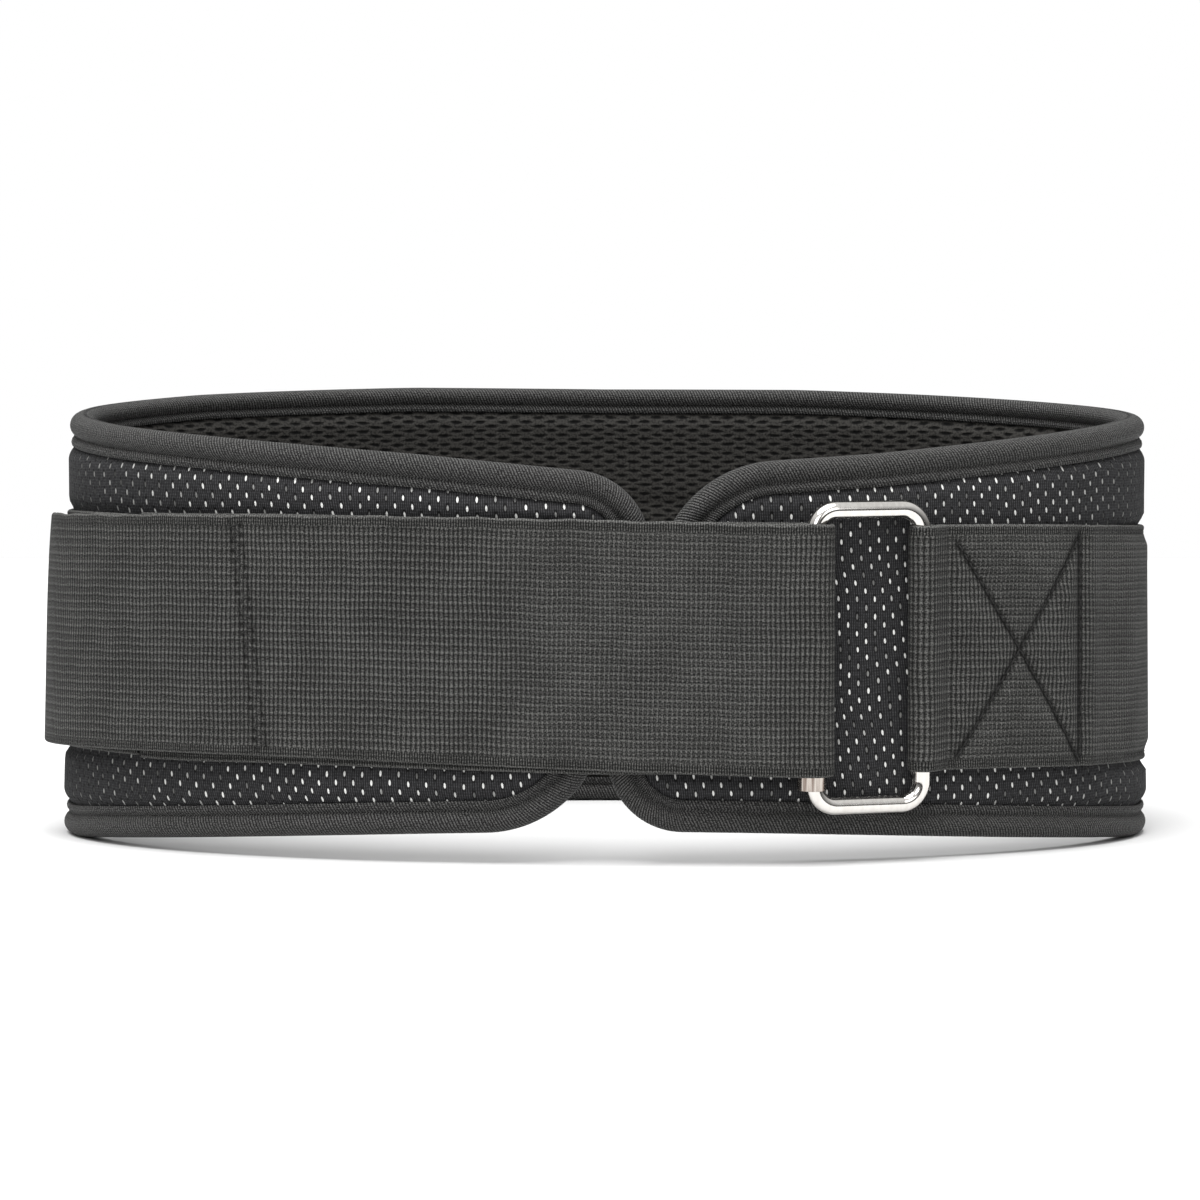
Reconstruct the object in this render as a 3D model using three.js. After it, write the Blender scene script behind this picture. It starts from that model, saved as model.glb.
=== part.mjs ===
// Padded weightlifting belt, closed by a webbing strap with a rectangular ring and a roller.
// Millimetres, +X to the right, +Y to the back, +Z up. The belt stands on its lower edge, and the
// origin is the middle of its footprint.
import * as THREE from 'three';

// Panel: shell and lining together, bent to an ellipse seen from above
const outerWidth = 342; // side to side over the shell's outer face
const outerDepth = 194; // front to back over the shell's outer face
const backHeight = 140; // height of the edge at the middle of the back
const panelThickness = 8;
const liningThickness = 2;
const pressedThickness = 4.4; // of the panel inside the binding
const frontRise = 9.9; // how far the lower edge lifts towards the front
const frontDrop = 20.2; // how far the upper edge falls towards the front
const restingShare = 0.455; // share of the half girth, from the front, where the lower edge is down
const riseCurve = 1.7;
const dropShare = 0.85; // share of the half girth, from the front, where the upper edge is level
const dropCurve = 1.3;
const leftLean = 2.5; // how far the left side leans out at its foot
const rightLean = 1.4;
const leanShare = 0.6; // share of the half width where the lean starts
const leanLimit = 1.1; // most of the lean's reach, just past the panel's own side

// Closure: the two slanted ends at the front
const closureOffset = 8.4; // middle of the gap, to the right of the front's middle
const closureGap = 6;
const endSlant = THREE.MathUtils.degToRad(12.7);
const leftTopRadius = 20;
const leftBottomRadius = 37;
const rightTopRadius = 31;
const rightBottomRadius = 23;

// Binding tape round the panel's edge
const bindingWidth = 10; // from the outermost edge to the lip
const rollHeight = 7.3; // the round roll on the edge
const rollThickness = 8.2;
const lipThickness = 1;
const rollDepth = 3; // of the roll outside the panel's own edge
const swellWidth = 4.2; // in which the panel swells from the lip to its full thickness
const leastRadius = 0.6; // of a corner left after an inset

// Webbing and fastener
const webbingWidth = 74.8;
const webbingThickness = 1.8;
const webbingHeight = 65.4; // its middle above the floor
const sewnDrop = 0.5; // how far the sewn webbing sits lower than the pull strap
const sideDip = 5.4; // how far it dips further at the right side
const backLift = 1.2; // how far it comes up at the back
const tailLift = 3.2; // how far the tail sits higher halfway along
const tailLiftCurve = 1.25;
const sewnMargin = 3.2; // flat margin outside its stitching
const sewnSlope = 2.3;
const sewnBulge = 0.9; // how far it swells between the stitching
const padThickness = 1.1;
const padWidth = 70;
const tailPastSide = 6; // how far the tail ends behind the left side
const tailRadius = 10; // of the tail's corners
const hookLength = 92;
const loopLength = 112;
const padStep = 12; // length of the tail's ramp over each pad
const seamShare = 0.72; // where the two webbings meet below the loop pad, share of the way to the side

// Ring and roller
const buckleOffset = 61.5; // roller's axis, along the panel from the front's middle
const ringSpan = 33; // between the axes of the ring's two long bars
const ringHeight = 93.7;
const ringCentreHeight = 63.2;
const wireRadius = 2.7;
const ringCornerRadius = 6;
const rollerRadius = 4.25;
const rollerBore = 3.5;
const rollerLength = 79;
const returnLength = 59; // of the webbing's sewn end under the crossed box
const loopRun = 8.4; // from the ring's bar to the first row of stitches

// Clearances
const layerGap = 0.3;
const rollerPlay = 0.25; // between the wire and the roller's bore, where they nearly touch

// Fineness of the faceted surfaces
const stationCount = 60;
const cornerSteps = 5;
const wireSides = 10;
const rollerSides = 16;
const wrapStep = THREE.MathUtils.degToRad(18);
const cornerPasses = 6; // rounds in which a corner point settles on the edge's curve
const leastStep = 0.03; // points of a line that are nearer than this are one
const tailEndShares = [0, 0.4, 0.7, 0.9, 1]; // steps along the tail's rounded end

const colours = {
  mesh: 0x1d1d1f,
  lining: 0x121214,
  binding: 0x262627,
  webbing: 0x3a3a39,
  pad: 0x161617,
  metal: 0xc9c5bd,
};

// The plan line is the middle of the panel's thickness, seen from above. It starts at the front's middle
// and goes round by the right side. Each corner keeps a mitred normal, so that layers at any distance
// from the line stay parallel.
const halfWidth = (outerWidth - panelThickness) / 2;
const halfDepth = (outerDepth - panelThickness) / 2;
const ellipse = new THREE.EllipseCurve(0, 0, halfWidth, halfDepth, -Math.PI / 2, 1.5 * Math.PI);
const corners = ellipse.getPoints(stationCount).slice(0, stationCount);
const edges = corners.map((corner, k) => corners[(k + 1) % stationCount].clone().sub(corner));
const facetNormals = edges.map((edge) => new THREE.Vector2(edge.y, -edge.x).normalize());
const mitres = facetNormals.map((normal, k) => {
  const before = facetNormals[(k + stationCount - 1) % stationCount];
  return normal.clone().add(before).divideScalar(1 + normal.dot(before));
});
const stations = [];
let girth = 0;
for (const edge of edges) {
  stations.push(girth);
  girth += edge.length();
}
const halfGirth = girth / 2;

// Index of the facet at a distance along the plan line
function facetAt(along) {
  const turn = THREE.MathUtils.euclideanModulo(along, girth);
  return stations.findLastIndex((station) => station <= turn);
}

// Point at a distance along the plan line and a distance out from it
function planPoint(along, out) {
  const k = facetAt(along);
  const next = (k + 1) % stationCount;
  const share = (THREE.MathUtils.euclideanModulo(along, girth) - stations[k]) / edges[k].length();
  const normal = mitres[k].clone().lerp(mitres[next], share);
  return corners[k].clone().lerp(corners[next], share).addScaledVector(normal, out);
}

function spacePoint(along, out, height) {
  const { x, y } = planPoint(along, out);
  return new THREE.Vector3(x, y, height);
}

// Plan-line corners between two distances, which may be negative, in rising order
function stationsBetween(from, to) {
  const found = [];
  for (let turn = -1; turn <= 1; turn += 1) {
    for (const station of stations) {
      const along = station + turn * girth;
      if (along > from + layerGap && along < to - layerGap) {
        found.push(along);
      }
    }
  }
  return found;
}

// Heights of the panel's two edges
function awayFromFront(along) {
  return Math.max(0, Math.min(along, girth - along));
}

function lowerEdge(along) {
  const share = awayFromFront(along) / (restingShare * halfGirth);
  return frontRise * Math.max(0, 1 - share ** riseCurve);
}

function upperEdge(along) {
  const share = awayFromFront(along) / (dropShare * halfGirth);
  return backHeight - frontDrop * Math.max(0, 1 - share) ** dropCurve;
}

// Outline of the panel, laid out flat: x is the distance along the plan line, y is the height
const rightEnd = closureOffset + closureGap / 2;
const leftEnd = girth + closureOffset - closureGap / 2;
const endCorners = [
  { name: 'rightBottom', end: rightEnd, inward: 1, edge: lowerEdge, up: 1, radius: rightBottomRadius },
  { name: 'leftBottom', end: leftEnd, inward: -1, edge: lowerEdge, up: 1, radius: leftBottomRadius },
  { name: 'leftTop', end: leftEnd, inward: -1, edge: upperEdge, up: -1, radius: leftTopRadius },
  { name: 'rightTop', end: rightEnd, inward: 1, edge: upperEdge, up: -1, radius: rightTopRadius },
];

// Corner point, directions of its two sides and rounding, for an outline set in by some distance
function cornerShape({ end, inward, edge, up, radius }, inset) {
  const shift = (inward * inset) / Math.cos(endSlant);
  const point = new THREE.Vector2(end + shift, 0);
  for (let pass = 0; pass < cornerPasses; pass += 1) {
    point.y = edge(point.x) + up * inset;
    point.x = end + shift + (point.y - webbingHeight) * Math.tan(endSlant);
  }
  const reach = inward * bindingWidth;
  const alongEdge = new THREE.Vector2(reach, edge(point.x + reach) - edge(point.x)).normalize();
  const alongEnd = new THREE.Vector2(up * Math.sin(endSlant), up * Math.cos(endSlant));
  const halfAngle = Math.acos(alongEdge.dot(alongEnd)) / 2;
  const rounding = Math.max(radius - inset, leastRadius);
  return { point, alongEdge, alongEnd, halfAngle, rounding, tangent: rounding / Math.tan(halfAngle) };
}

// Arc from the corner's edge side to its end side
function cornerArc(shape, steps) {
  const { point, alongEdge, alongEnd, halfAngle, rounding, tangent } = shape;
  const bisector = alongEdge.clone().add(alongEnd).normalize();
  const centre = point.clone().addScaledVector(bisector, rounding / Math.sin(halfAngle));
  const first = point.clone().addScaledVector(alongEdge, tangent).sub(centre);
  const turn = (Math.PI - 2 * halfAngle) * Math.sign(first.cross(bisector.clone().negate()));
  const arc = [];
  for (let k = 0; k <= steps; k += 1) {
    arc.push(first.clone().rotateAround(new THREE.Vector2(), (turn * k) / steps).add(centre));
  }
  return arc;
}

// Lower half of the outline from right to left, then the upper half back. Both halves have as many
// points, so that point k of one stands over point k of the other.
const shapes = Object.fromEntries(endCorners.map((corner) => [corner.name, cornerShape(corner, 0)]));

function edgeStations(right, left) {
  const from = shapes[right].point.x + shapes[right].tangent * shapes[right].alongEdge.x;
  const to = shapes[left].point.x + shapes[left].tangent * shapes[left].alongEdge.x;
  return stationsBetween(from + layerGap, to - layerGap);
}

const lowerStations = edgeStations('rightBottom', 'leftBottom');
const upperStations = edgeStations('rightTop', 'leftTop');
const shared = lowerStations.filter((along) => upperStations.includes(along));
const [firstShared] = shared;
const lastShared = shared.at(-1);
const extraSteps = {
  rightBottom: upperStations.filter((along) => along < firstShared).length,
  rightTop: lowerStations.filter((along) => along < firstShared).length,
  leftBottom: upperStations.filter((along) => along > lastShared).length,
  leftTop: lowerStations.filter((along) => along > lastShared).length,
};

function outline(inset) {
  const [rightBottom, leftBottom, leftTop, rightTop] = endCorners.map((corner) =>
    cornerArc(cornerShape(corner, inset), cornerSteps + extraSteps[corner.name]),
  );
  const lower = lowerStations.map((along) => new THREE.Vector2(along, lowerEdge(along) + inset));
  const upper = upperStations.map((along) => new THREE.Vector2(along, upperEdge(along) - inset));
  return [
    ...rightBottom.reverse(),
    ...lower,
    ...leftBottom,
    ...leftTop.reverse(),
    ...upper.reverse(),
    ...rightTop,
  ];
}

function outlineRing({ inset, out }) {
  return outline(inset).map(({ x, y }) => spacePoint(x, out, y));
}

// Closed body through rings of points. An open row of rings is capped by strips that join point k of
// the end ring to its mirror point.
function loft(rings, closed = false) {
  const count = rings[0].length;
  const index = [];
  const addQuad = (a, b, c, d) => index.push(a, b, c, a, c, d);
  const spans = closed ? rings.length : rings.length - 1;
  for (let r = 0; r < spans; r += 1) {
    const base = r * count;
    const nextBase = ((r + 1) % rings.length) * count;
    for (let k = 0; k < count; k += 1) {
      const next = (k + 1) % count;
      addQuad(base + k, base + next, nextBase + next, nextBase + k);
    }
  }
  if (!closed) {
    const last = (rings.length - 1) * count;
    for (let k = 0; k < count / 2 - 1; k += 1) {
      const mirror = count - 1 - k;
      addQuad(k, mirror, mirror - 1, k + 1);
      addQuad(last + k, last + k + 1, last + mirror - 1, last + mirror);
    }
  }
  const points = rings.flat();
  if (signedVolume(points, index) < 0) {
    index.reverse();
  }
  const geometry = new THREE.BufferGeometry().setFromPoints(points);
  geometry.setIndex(index);
  return geometry;
}

function signedVolume(points, index) {
  let volume = 0;
  for (let k = 0; k < index.length; k += 3) {
    const [a, b, c] = [points[index[k]], points[index[k + 1]], points[index[k + 2]]];
    volume += a.dot(b.clone().cross(c)) / 6;
  }
  return volume;
}

// Panel layers: a sheet that is thin inside the binding and full in the open
const edgeInset = rollDepth + layerGap;
const lipInset = bindingWidth + layerGap;
const fullInset = lipInset + swellWidth;

function sheet(inner, outer) {
  return loft([
    outlineRing({ inset: fullInset, out: inner.full }),
    outlineRing({ inset: lipInset, out: inner.pressed }),
    outlineRing({ inset: edgeInset, out: inner.pressed }),
    outlineRing({ inset: edgeInset, out: outer.pressed }),
    outlineRing({ inset: lipInset, out: outer.pressed }),
    outlineRing({ inset: fullInset, out: outer.full }),
  ]);
}

const waistFace = { full: -panelThickness / 2, pressed: -pressedThickness / 2 };
const outerFace = { full: panelThickness / 2, pressed: pressedThickness / 2 };
const pressedShare = pressedThickness / panelThickness;
const liningFace = {
  full: waistFace.full + liningThickness,
  pressed: waistFace.pressed + liningThickness * pressedShare,
};
const shellFace = { full: liningFace.full + layerGap, pressed: liningFace.pressed + layerGap };

// Binding: half of its section, from the middle of the roll to the channel that holds the panel
const rollTable = [
  { inset: 0.0, out: 0.3 },
  { inset: 0.2, out: 0.8 },
  { inset: 0.52, out: 1.0 },
  { inset: 0.84, out: 0.93 },
  { inset: 1.04, out: 0.78 },
];

function bindingSection() {
  const channel = pressedThickness / 2 + layerGap;
  const half = rollTable.map(({ inset, out }) => {
    const least = inset * rollHeight > rollDepth ? channel + lipThickness / 2 : 0;
    return { inset: inset * rollHeight, out: Math.max((out * rollThickness) / 2, least) };
  });
  half.push({ inset: bindingWidth, out: channel + lipThickness });
  half.push({ inset: bindingWidth, out: channel });
  half.push({ inset: rollDepth, out: channel });
  const mirrored = half.map(({ inset, out }) => ({ inset, out: -out })).reverse();
  return [...half, ...mirrored];
}

// Webbing and pads: a ribbon that stands on edge and follows a path seen from above
function ribbon(path, thickness) {
  const rings = path.map(({ at, low, high, bulge = 0 }, k) => {
    const before = path[Math.max(k - 1, 0)].at;
    const after = path[Math.min(k + 1, path.length - 1)].at;
    const arriving = k > 0 ? at.clone().sub(before).normalize() : after.clone().sub(at).normalize();
    const leaving = k < path.length - 1 ? after.clone().sub(at).normalize() : arriving;
    const side = new THREE.Vector2(arriving.y + leaving.y, -arriving.x - leaving.x);
    side.divideScalar(1 + arriving.dot(leaving));
    const place = (out, height) => {
      const moved = at.clone().addScaledVector(side, out);
      return new THREE.Vector3(moved.x, moved.y, height);
    };
    const face = thickness / 2;
    return [
      place(-face, low),
      place(face, low),
      place(face, low + sewnMargin),
      place(face + bulge, low + sewnMargin + sewnSlope),
      place(face + bulge, high - sewnMargin - sewnSlope),
      place(face, high - sewnMargin),
      place(face, high),
      place(-face, high),
    ];
  });
  return loft(rings);
}

// Path over the panel through chosen distances out, with every corner of the plan line between them
function surfaceRun(controls, centreHeight, width, bulgeAt = () => 0) {
  const first = controls[0].along;
  const last = controls.at(-1).along;
  const alongs = [...controls.map(({ along }) => along), ...stationsBetween(first, last)];
  const spaced = alongs
    .sort((a, b) => a - b)
    .filter((along, k, all) => k === 0 || along - all[k - 1] > layerGap || along === last);
  return spaced.map((along) => {
    const k = Math.max(1, controls.findIndex((control) => control.along >= along));
    const [from, to] = [controls[k - 1], controls[k]];
    const out = THREE.MathUtils.mapLinear(along, from.along, to.along, from.out, to.out);
    const middle = centreHeight(along);
    return {
      at: planPoint(along, out),
      low: middle - width / 2,
      high: middle + width / 2,
      bulge: bulgeAt(along),
    };
  });
}

// Arc of webbing round a bar, from the side that faces the panel to where the webbing leaves for a point
function wrap(centre, radius, inwards, target, clockwise) {
  const toTarget = target.clone().sub(centre);
  const sign = clockwise ? -1 : 1;
  const start = inwards.angle();
  const leave = toTarget.angle() - sign * Math.acos(radius / toTarget.length());
  const sweep = THREE.MathUtils.euclideanModulo(sign * (leave - start), 2 * Math.PI);
  const steps = Math.ceil(sweep / wrapStep);
  const arc = [];
  for (let k = 0; k <= steps; k += 1) {
    const angle = start + (sign * sweep * k) / steps;
    arc.push(new THREE.Vector2(Math.cos(angle), Math.sin(angle)).multiplyScalar(radius).add(centre));
  }
  return arc;
}

// Distances out from the plan line of the middle of each layer
const baseOut = panelThickness / 2 + layerGap + webbingThickness / 2;
const secondOut = baseOut + webbingThickness + layerGap;
const loopPadOut = baseOut + webbingThickness / 2 + layerGap + padThickness / 2;
const hookPadOut = loopPadOut + padThickness + layerGap;
const overLoopOut = loopPadOut + padThickness / 2 + layerGap + webbingThickness / 2;
const overHookOut = hookPadOut + padThickness / 2 + layerGap + webbingThickness / 2;
const leftSide = -girth / 4;
const tailFrom = leftSide - tailPastSide;
const barAlong = buckleOffset + ringSpan; // of the ring's right bar

function level() {
  return webbingHeight;
}

// The tail rises behind the roller and comes down again at its end
function tailLevel(along) {
  const share = THREE.MathUtils.clamp((buckleOffset - along) / (buckleOffset - tailFrom), 0, 1);
  return webbingHeight + tailLift * Math.sin(Math.PI * share ** tailLiftCurve);
}

// The sewn webbing dips at the right side and comes up again at the back
function sewnLevel(along) {
  const share = THREE.MathUtils.clamp((along - barAlong) / (halfGirth - barAlong), 0, 1);
  const backShare = THREE.MathUtils.clamp((girth - along) / halfGirth, 0, 1);
  const lift = backLift * Math.sin((Math.PI / 2) * Math.min(share, backShare)) ** 2;
  return webbingHeight - sewnDrop + lift - sideDip * Math.sin(Math.PI * share) ** 2;
}

// Bar axes of the ring, seen from above
const rollerWrap = rollerRadius + layerGap + webbingThickness / 2;
const barWrap = wireRadius + layerGap + webbingThickness / 2;
const rollerNormal = facetNormals[facetAt(buckleOffset)];
const barNormal = facetNormals[facetAt(barAlong)];
const rollerAxis = planPoint(buckleOffset, baseOut).addScaledVector(rollerNormal, rollerWrap);
const rightBarAxis = planPoint(barAlong, baseOut).addScaledVector(barNormal, barWrap);
const wireShift = rollerBore * Math.cos(Math.PI / rollerSides) - wireRadius - rollerPlay;
const leftBarAxis = rollerAxis.clone().add(
  rightBarAxis.clone().sub(rollerAxis).setLength(Math.max(wireShift, 0)),
);

// Pull strap: standing part, turn round the roller, flight back to the panel, tail
const seamAlong = leftSide * seamShare;

// The tail's straight-edged part starts where its rounded end stops
function tailControls(contact) {
  const hookFront = tailFrom + hookLength;
  const loopFront = Math.max(tailFrom + loopLength, hookFront + 2 * padStep);
  return [
    { along: tailFrom + tailRadius, out: overHookOut },
    { along: hookFront, out: overHookOut },
    { along: hookFront + padStep, out: overLoopOut },
    { along: loopFront, out: overLoopOut },
    { along: Math.min(loopFront + padStep, contact - layerGap), out: secondOut },
    { along: contact, out: secondOut },
  ];
}

// Last corner of the plan line that the tail touches before its straight flight to the roller
function contactStation() {
  const candidates = stationsBetween(leftSide, buckleOffset).reverse();
  const flightEnd = rollerAxis.clone().addScaledVector(rollerNormal, rollerWrap);
  return candidates.find((along, k) => {
    const point = planPoint(along, secondOut);
    const flight = flightEnd.clone().sub(point);
    const between = candidates.slice(0, k);
    return between.every((other) => planPoint(other, secondOut).sub(point).cross(flight) < 0)
      && planPoint(candidates[k + 1], secondOut).sub(point).cross(flight) < 0;
  });
}

function pullStrapPath() {
  const standing = surfaceRun(
    [
      { along: seamAlong + layerGap, out: baseOut },
      { along: buckleOffset, out: baseOut },
    ],
    level,
    webbingWidth,
  );
  const tail = surfaceRun(tailControls(contactStation()), tailLevel, webbingWidth).reverse();
  const inwards = rollerNormal.clone().negate();
  const turn = wrap(rollerAxis, rollerWrap, inwards, tail[0].at, true);
  const half = webbingWidth / 2;
  const turned = turn.map((at) => ({ at, low: webbingHeight - half, high: webbingHeight + half }));
  return [...standing.slice(0, -1), ...turned, ...tail.slice(0, -1), ...tailEnd()];
}

// The tail's end with its two rounded corners
function tailEnd() {
  return tailEndShares.map((share) => {
    const back = tailRadius * (1 - share);
    const trim = tailRadius - Math.sqrt(tailRadius ** 2 - (tailRadius * share) ** 2);
    const middle = tailLevel(tailFrom + back);
    return {
      at: planPoint(tailFrom + back, overHookOut),
      low: middle - webbingWidth / 2 + trim,
      high: middle + webbingWidth / 2 - trim,
    };
  });
}

// Ring strap: sewn end, turn round the ring's right bar, crossed box, run round the back
function ringStrapPath() {
  const returnEnd = barAlong + returnLength;
  const sewn = surfaceRun(
    [
      { along: barAlong, out: baseOut },
      { along: returnEnd, out: baseOut },
    ],
    sewnLevel,
    webbingWidth,
  ).reverse();
  const bulgeStart = returnEnd + 2 * padStep;
  const bulgeEnd = girth + leftSide - padStep;
  const bulgeAt = (along) => {
    const inside = Math.min(along - bulgeStart, bulgeEnd - along);
    return sewnBulge * THREE.MathUtils.clamp(inside / padStep, 0, 1);
  };
  const outerRun = surfaceRun(
    [
      { along: barAlong + loopRun, out: secondOut },
      { along: returnEnd + layerGap, out: secondOut },
      { along: returnEnd + padStep, out: baseOut },
      { along: bulgeEnd, out: baseOut },
      { along: girth + seamAlong - layerGap, out: baseOut },
    ],
    sewnLevel,
    webbingWidth,
    bulgeAt,
  );
  const inwards = barNormal.clone().negate();
  const turn = wrap(rightBarAxis, barWrap, inwards, outerRun[0].at, false);
  const { low, high } = sewn.at(-1);
  const turned = turn.map((at) => ({ at, low, high }));
  return [...sewn.slice(0, -1), ...turned, ...outerRun];
}

function padRun(from, to, out, centreHeight) {
  const run = surfaceRun([{ along: from, out }, { along: to, out }], centreHeight, padWidth);
  return ribbon(run, padThickness);
}

// Ring: round wire along a rounded rectangle that stands between the two bar axes
function ringBody() {
  const across = rightBarAxis.clone().sub(leftBarAxis);
  const halfSpan = across.length() / 2;
  const halfTall = ringHeight / 2 - wireRadius;
  const round = Math.min(ringCornerRadius, halfSpan - wireRadius);
  const rectangle = new THREE.Shape();
  rectangle.absarc(halfSpan - round, halfTall - round, round, 0, Math.PI / 2);
  rectangle.absarc(round - halfSpan, halfTall - round, round, Math.PI / 2, Math.PI);
  rectangle.absarc(round - halfSpan, round - halfTall, round, Math.PI, 1.5 * Math.PI);
  rectangle.absarc(halfSpan - round, round - halfTall, round, 1.5 * Math.PI, 2 * Math.PI);
  rectangle.closePath();
  const line = rectangle.getPoints(cornerSteps).filter(
    (point, k, all) => point.distanceTo(all[(k + 1) % all.length]) > leastStep,
  );
  const middle = leftBarAxis.clone().add(rightBarAxis).divideScalar(2);
  const right = across.clone().normalize();
  const front = new THREE.Vector2(right.y, -right.x);
  const rings = line.map((point, k) => {
    const before = line[(k + line.length - 1) % line.length];
    const after = line[(k + 1) % line.length];
    const arriving = point.clone().sub(before).normalize();
    const leaving = after.clone().sub(point).normalize();
    const outward = new THREE.Vector2(arriving.y + leaving.y, -arriving.x - leaving.x);
    outward.divideScalar(1 + arriving.dot(leaving));
    return Array.from({ length: wireSides }, (_, side) => {
      const angle = (2 * Math.PI * (side + 0.5)) / wireSides;
      const spot = point.clone().addScaledVector(outward, wireRadius * Math.cos(angle));
      const plan = middle
        .clone()
        .addScaledVector(right, spot.x)
        .addScaledVector(front, wireRadius * Math.sin(angle));
      return new THREE.Vector3(plan.x, plan.y, ringCentreHeight + spot.y);
    });
  });
  return loft(rings, true);
}

function rollerBody() {
  const half = rollerLength / 2;
  const profile = [
    new THREE.Vector2(rollerBore, -half),
    new THREE.Vector2(rollerRadius, -half),
    new THREE.Vector2(rollerRadius, half),
    new THREE.Vector2(rollerBore, half),
    new THREE.Vector2(rollerBore, -half),
  ];
  return new THREE.LatheGeometry(profile, rollerSides).rotateX(Math.PI / 2);
}

// The sides lean out towards the foot, and every soft piece leans with them
function leanOut(geometry) {
  const positions = geometry.getAttribute('position');
  for (let k = 0; k < positions.count; k += 1) {
    const x = positions.getX(k);
    const reach = Math.max(0, Math.abs(x) / halfWidth - leanShare) / (1 - leanShare);
    const foot = 1 - positions.getZ(k) / backHeight;
    const lean = x < 0 ? -leftLean : rightLean;
    positions.setX(k, x + lean * foot * Math.min(reach, leanLimit) ** 2);
  }
  return geometry;
}

const belt = new THREE.Group();

function addPiece(name, geometry, { color, roughness, metalness = 0 }) {
  geometry.computeVertexNormals();
  const material = new THREE.MeshStandardMaterial({ color, roughness, metalness });
  const mesh = new THREE.Mesh(geometry, material);
  mesh.name = name;
  belt.add(mesh);
  return mesh;
}

const meshCloth = { color: colours.mesh, roughness: 0.85 };
const liningCloth = { color: colours.lining, roughness: 0.95 };
const bindingTape = { color: colours.binding, roughness: 0.8 };
const webbingCloth = { color: colours.webbing, roughness: 0.75 };
const padCloth = { color: colours.pad, roughness: 0.95 };
const metal = { color: colours.metal, roughness: 0.22, metalness: 1 };

addPiece('shell_panel', leanOut(sheet(shellFace, outerFace)), meshCloth);
addPiece('lining', leanOut(sheet(waistFace, liningFace)), liningCloth);
addPiece('edge_binding', leanOut(loft(bindingSection().map(outlineRing), true)), bindingTape);
addPiece('ring_strap', leanOut(ribbon(ringStrapPath(), webbingThickness)), webbingCloth);
addPiece('pull_strap', leanOut(ribbon(pullStrapPath(), webbingThickness)), webbingCloth);
const loopPadBody = padRun(tailFrom + padStep / 2, tailFrom + loopLength, loopPadOut, level);
const hookPadBody = padRun(tailFrom + padStep / 4, tailFrom + hookLength, hookPadOut, tailLevel);
addPiece('loop_pad', leanOut(loopPadBody), padCloth);
addPiece('hook_pad', leanOut(hookPadBody), padCloth);
addPiece('ring', ringBody(), metal);
const roller = addPiece('roller', rollerBody(), metal);
roller.position.set(rollerAxis.x, rollerAxis.y, ringCentreHeight);

// Set the origin at the middle of the footprint
const bounds = new THREE.Box3().setFromObject(belt);
const middleOfBox = bounds.getCenter(new THREE.Vector3());
belt.position.set(-middleOfBox.x, -middleOfBox.y, -bounds.min.z);

export default belt;
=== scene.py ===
import bpy
import numpy as np
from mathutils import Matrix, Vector


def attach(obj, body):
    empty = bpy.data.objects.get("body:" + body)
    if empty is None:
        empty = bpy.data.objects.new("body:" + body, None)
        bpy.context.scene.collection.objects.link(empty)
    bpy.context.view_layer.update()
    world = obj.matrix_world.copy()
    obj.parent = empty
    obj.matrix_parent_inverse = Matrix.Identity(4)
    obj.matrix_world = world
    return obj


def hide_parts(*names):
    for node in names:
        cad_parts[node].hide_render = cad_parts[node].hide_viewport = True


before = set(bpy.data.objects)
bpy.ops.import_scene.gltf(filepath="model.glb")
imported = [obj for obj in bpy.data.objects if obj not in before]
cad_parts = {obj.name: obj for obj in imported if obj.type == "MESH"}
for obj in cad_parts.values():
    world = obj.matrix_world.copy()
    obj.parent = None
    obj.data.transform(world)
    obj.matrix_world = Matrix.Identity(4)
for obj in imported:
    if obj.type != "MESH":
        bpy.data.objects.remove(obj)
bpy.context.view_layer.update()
print("frame loaded")

# Lengths in this file are millimetres until a mesh is made. "along" is the way round the panel from the
# front's middle, growing to the right, and "out" is the distance outwards from the panel's middle.
metre = 0.001

panel = {
    "halfWidth": 167.0,
    "halfDepth": 93.0,
    "centreX": 2.5353,       # of the plan ellipse, in the row frame
    "centreY": 1.5945,
    "backHeight": 140.0,
    "frontRise": 9.9,        # of the lower edge towards the front
    "frontDrop": 20.2,       # of the upper edge towards the front
    "restingShare": 0.455,
    "riseCurve": 1.7,
    "dropShare": 0.85,
    "dropCurve": 1.3,
    "leftLean": 2.5,         # how far each side leans out at its foot
    "rightLean": 1.4,
    "leanShare": 0.6,
    "leanLimit": 1.1,
    "endSlant": 15.0,        # degrees
    "closureOffset": 6.9,
    "closureGap": 2.2,
    "endLevel": 65.4,
    "radii": {"leftTop": 24.0, "leftBottom": 37.0, "rightTop": 38.0, "rightBottom": 23.0},
    # Unevenness of the upper edge: shares of the way round, and heights
    "waveShares": [0, 0.01, 0.05, 0.07, 0.1, 0.15, 0.22, 0.4, 0.5, 0.6, 0.67, 0.73, 0.8, 0.93, 1],
    "waveHeights": [-1.2, -1.3, -1.3, -1.5, -1.8, -1.1, 0, -0.9, -0.9, 0.1, 1.1, 0.9, 0, 0, -1.3],
}

turns = np.linspace(-np.pi / 2, 1.5 * np.pi, 7201)
curveX = panel["halfWidth"] * np.cos(turns)
curveY = panel["halfDepth"] * np.sin(turns)
runs = np.concatenate([[0.0], np.cumsum(np.hypot(np.diff(curveX), np.diff(curveY)))])
girth = runs[-1]
leftSide = -girth / 4


def unit(values):
    # Each row made one long
    return values / np.linalg.norm(values, axis=-1, keepdims=True)


def smooth(share):
    # 3 s^2 - 2 s^3 between 0 and 1
    s = np.clip(share, 0, 1)
    return s * s * (3 - 2 * s)


def inside(value, low, high, ramp):
    # 1 between low and high, easing to 0 over one ramp within each of them
    return smooth((value - low) / ramp) * smooth((high - value) / ramp)


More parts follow.
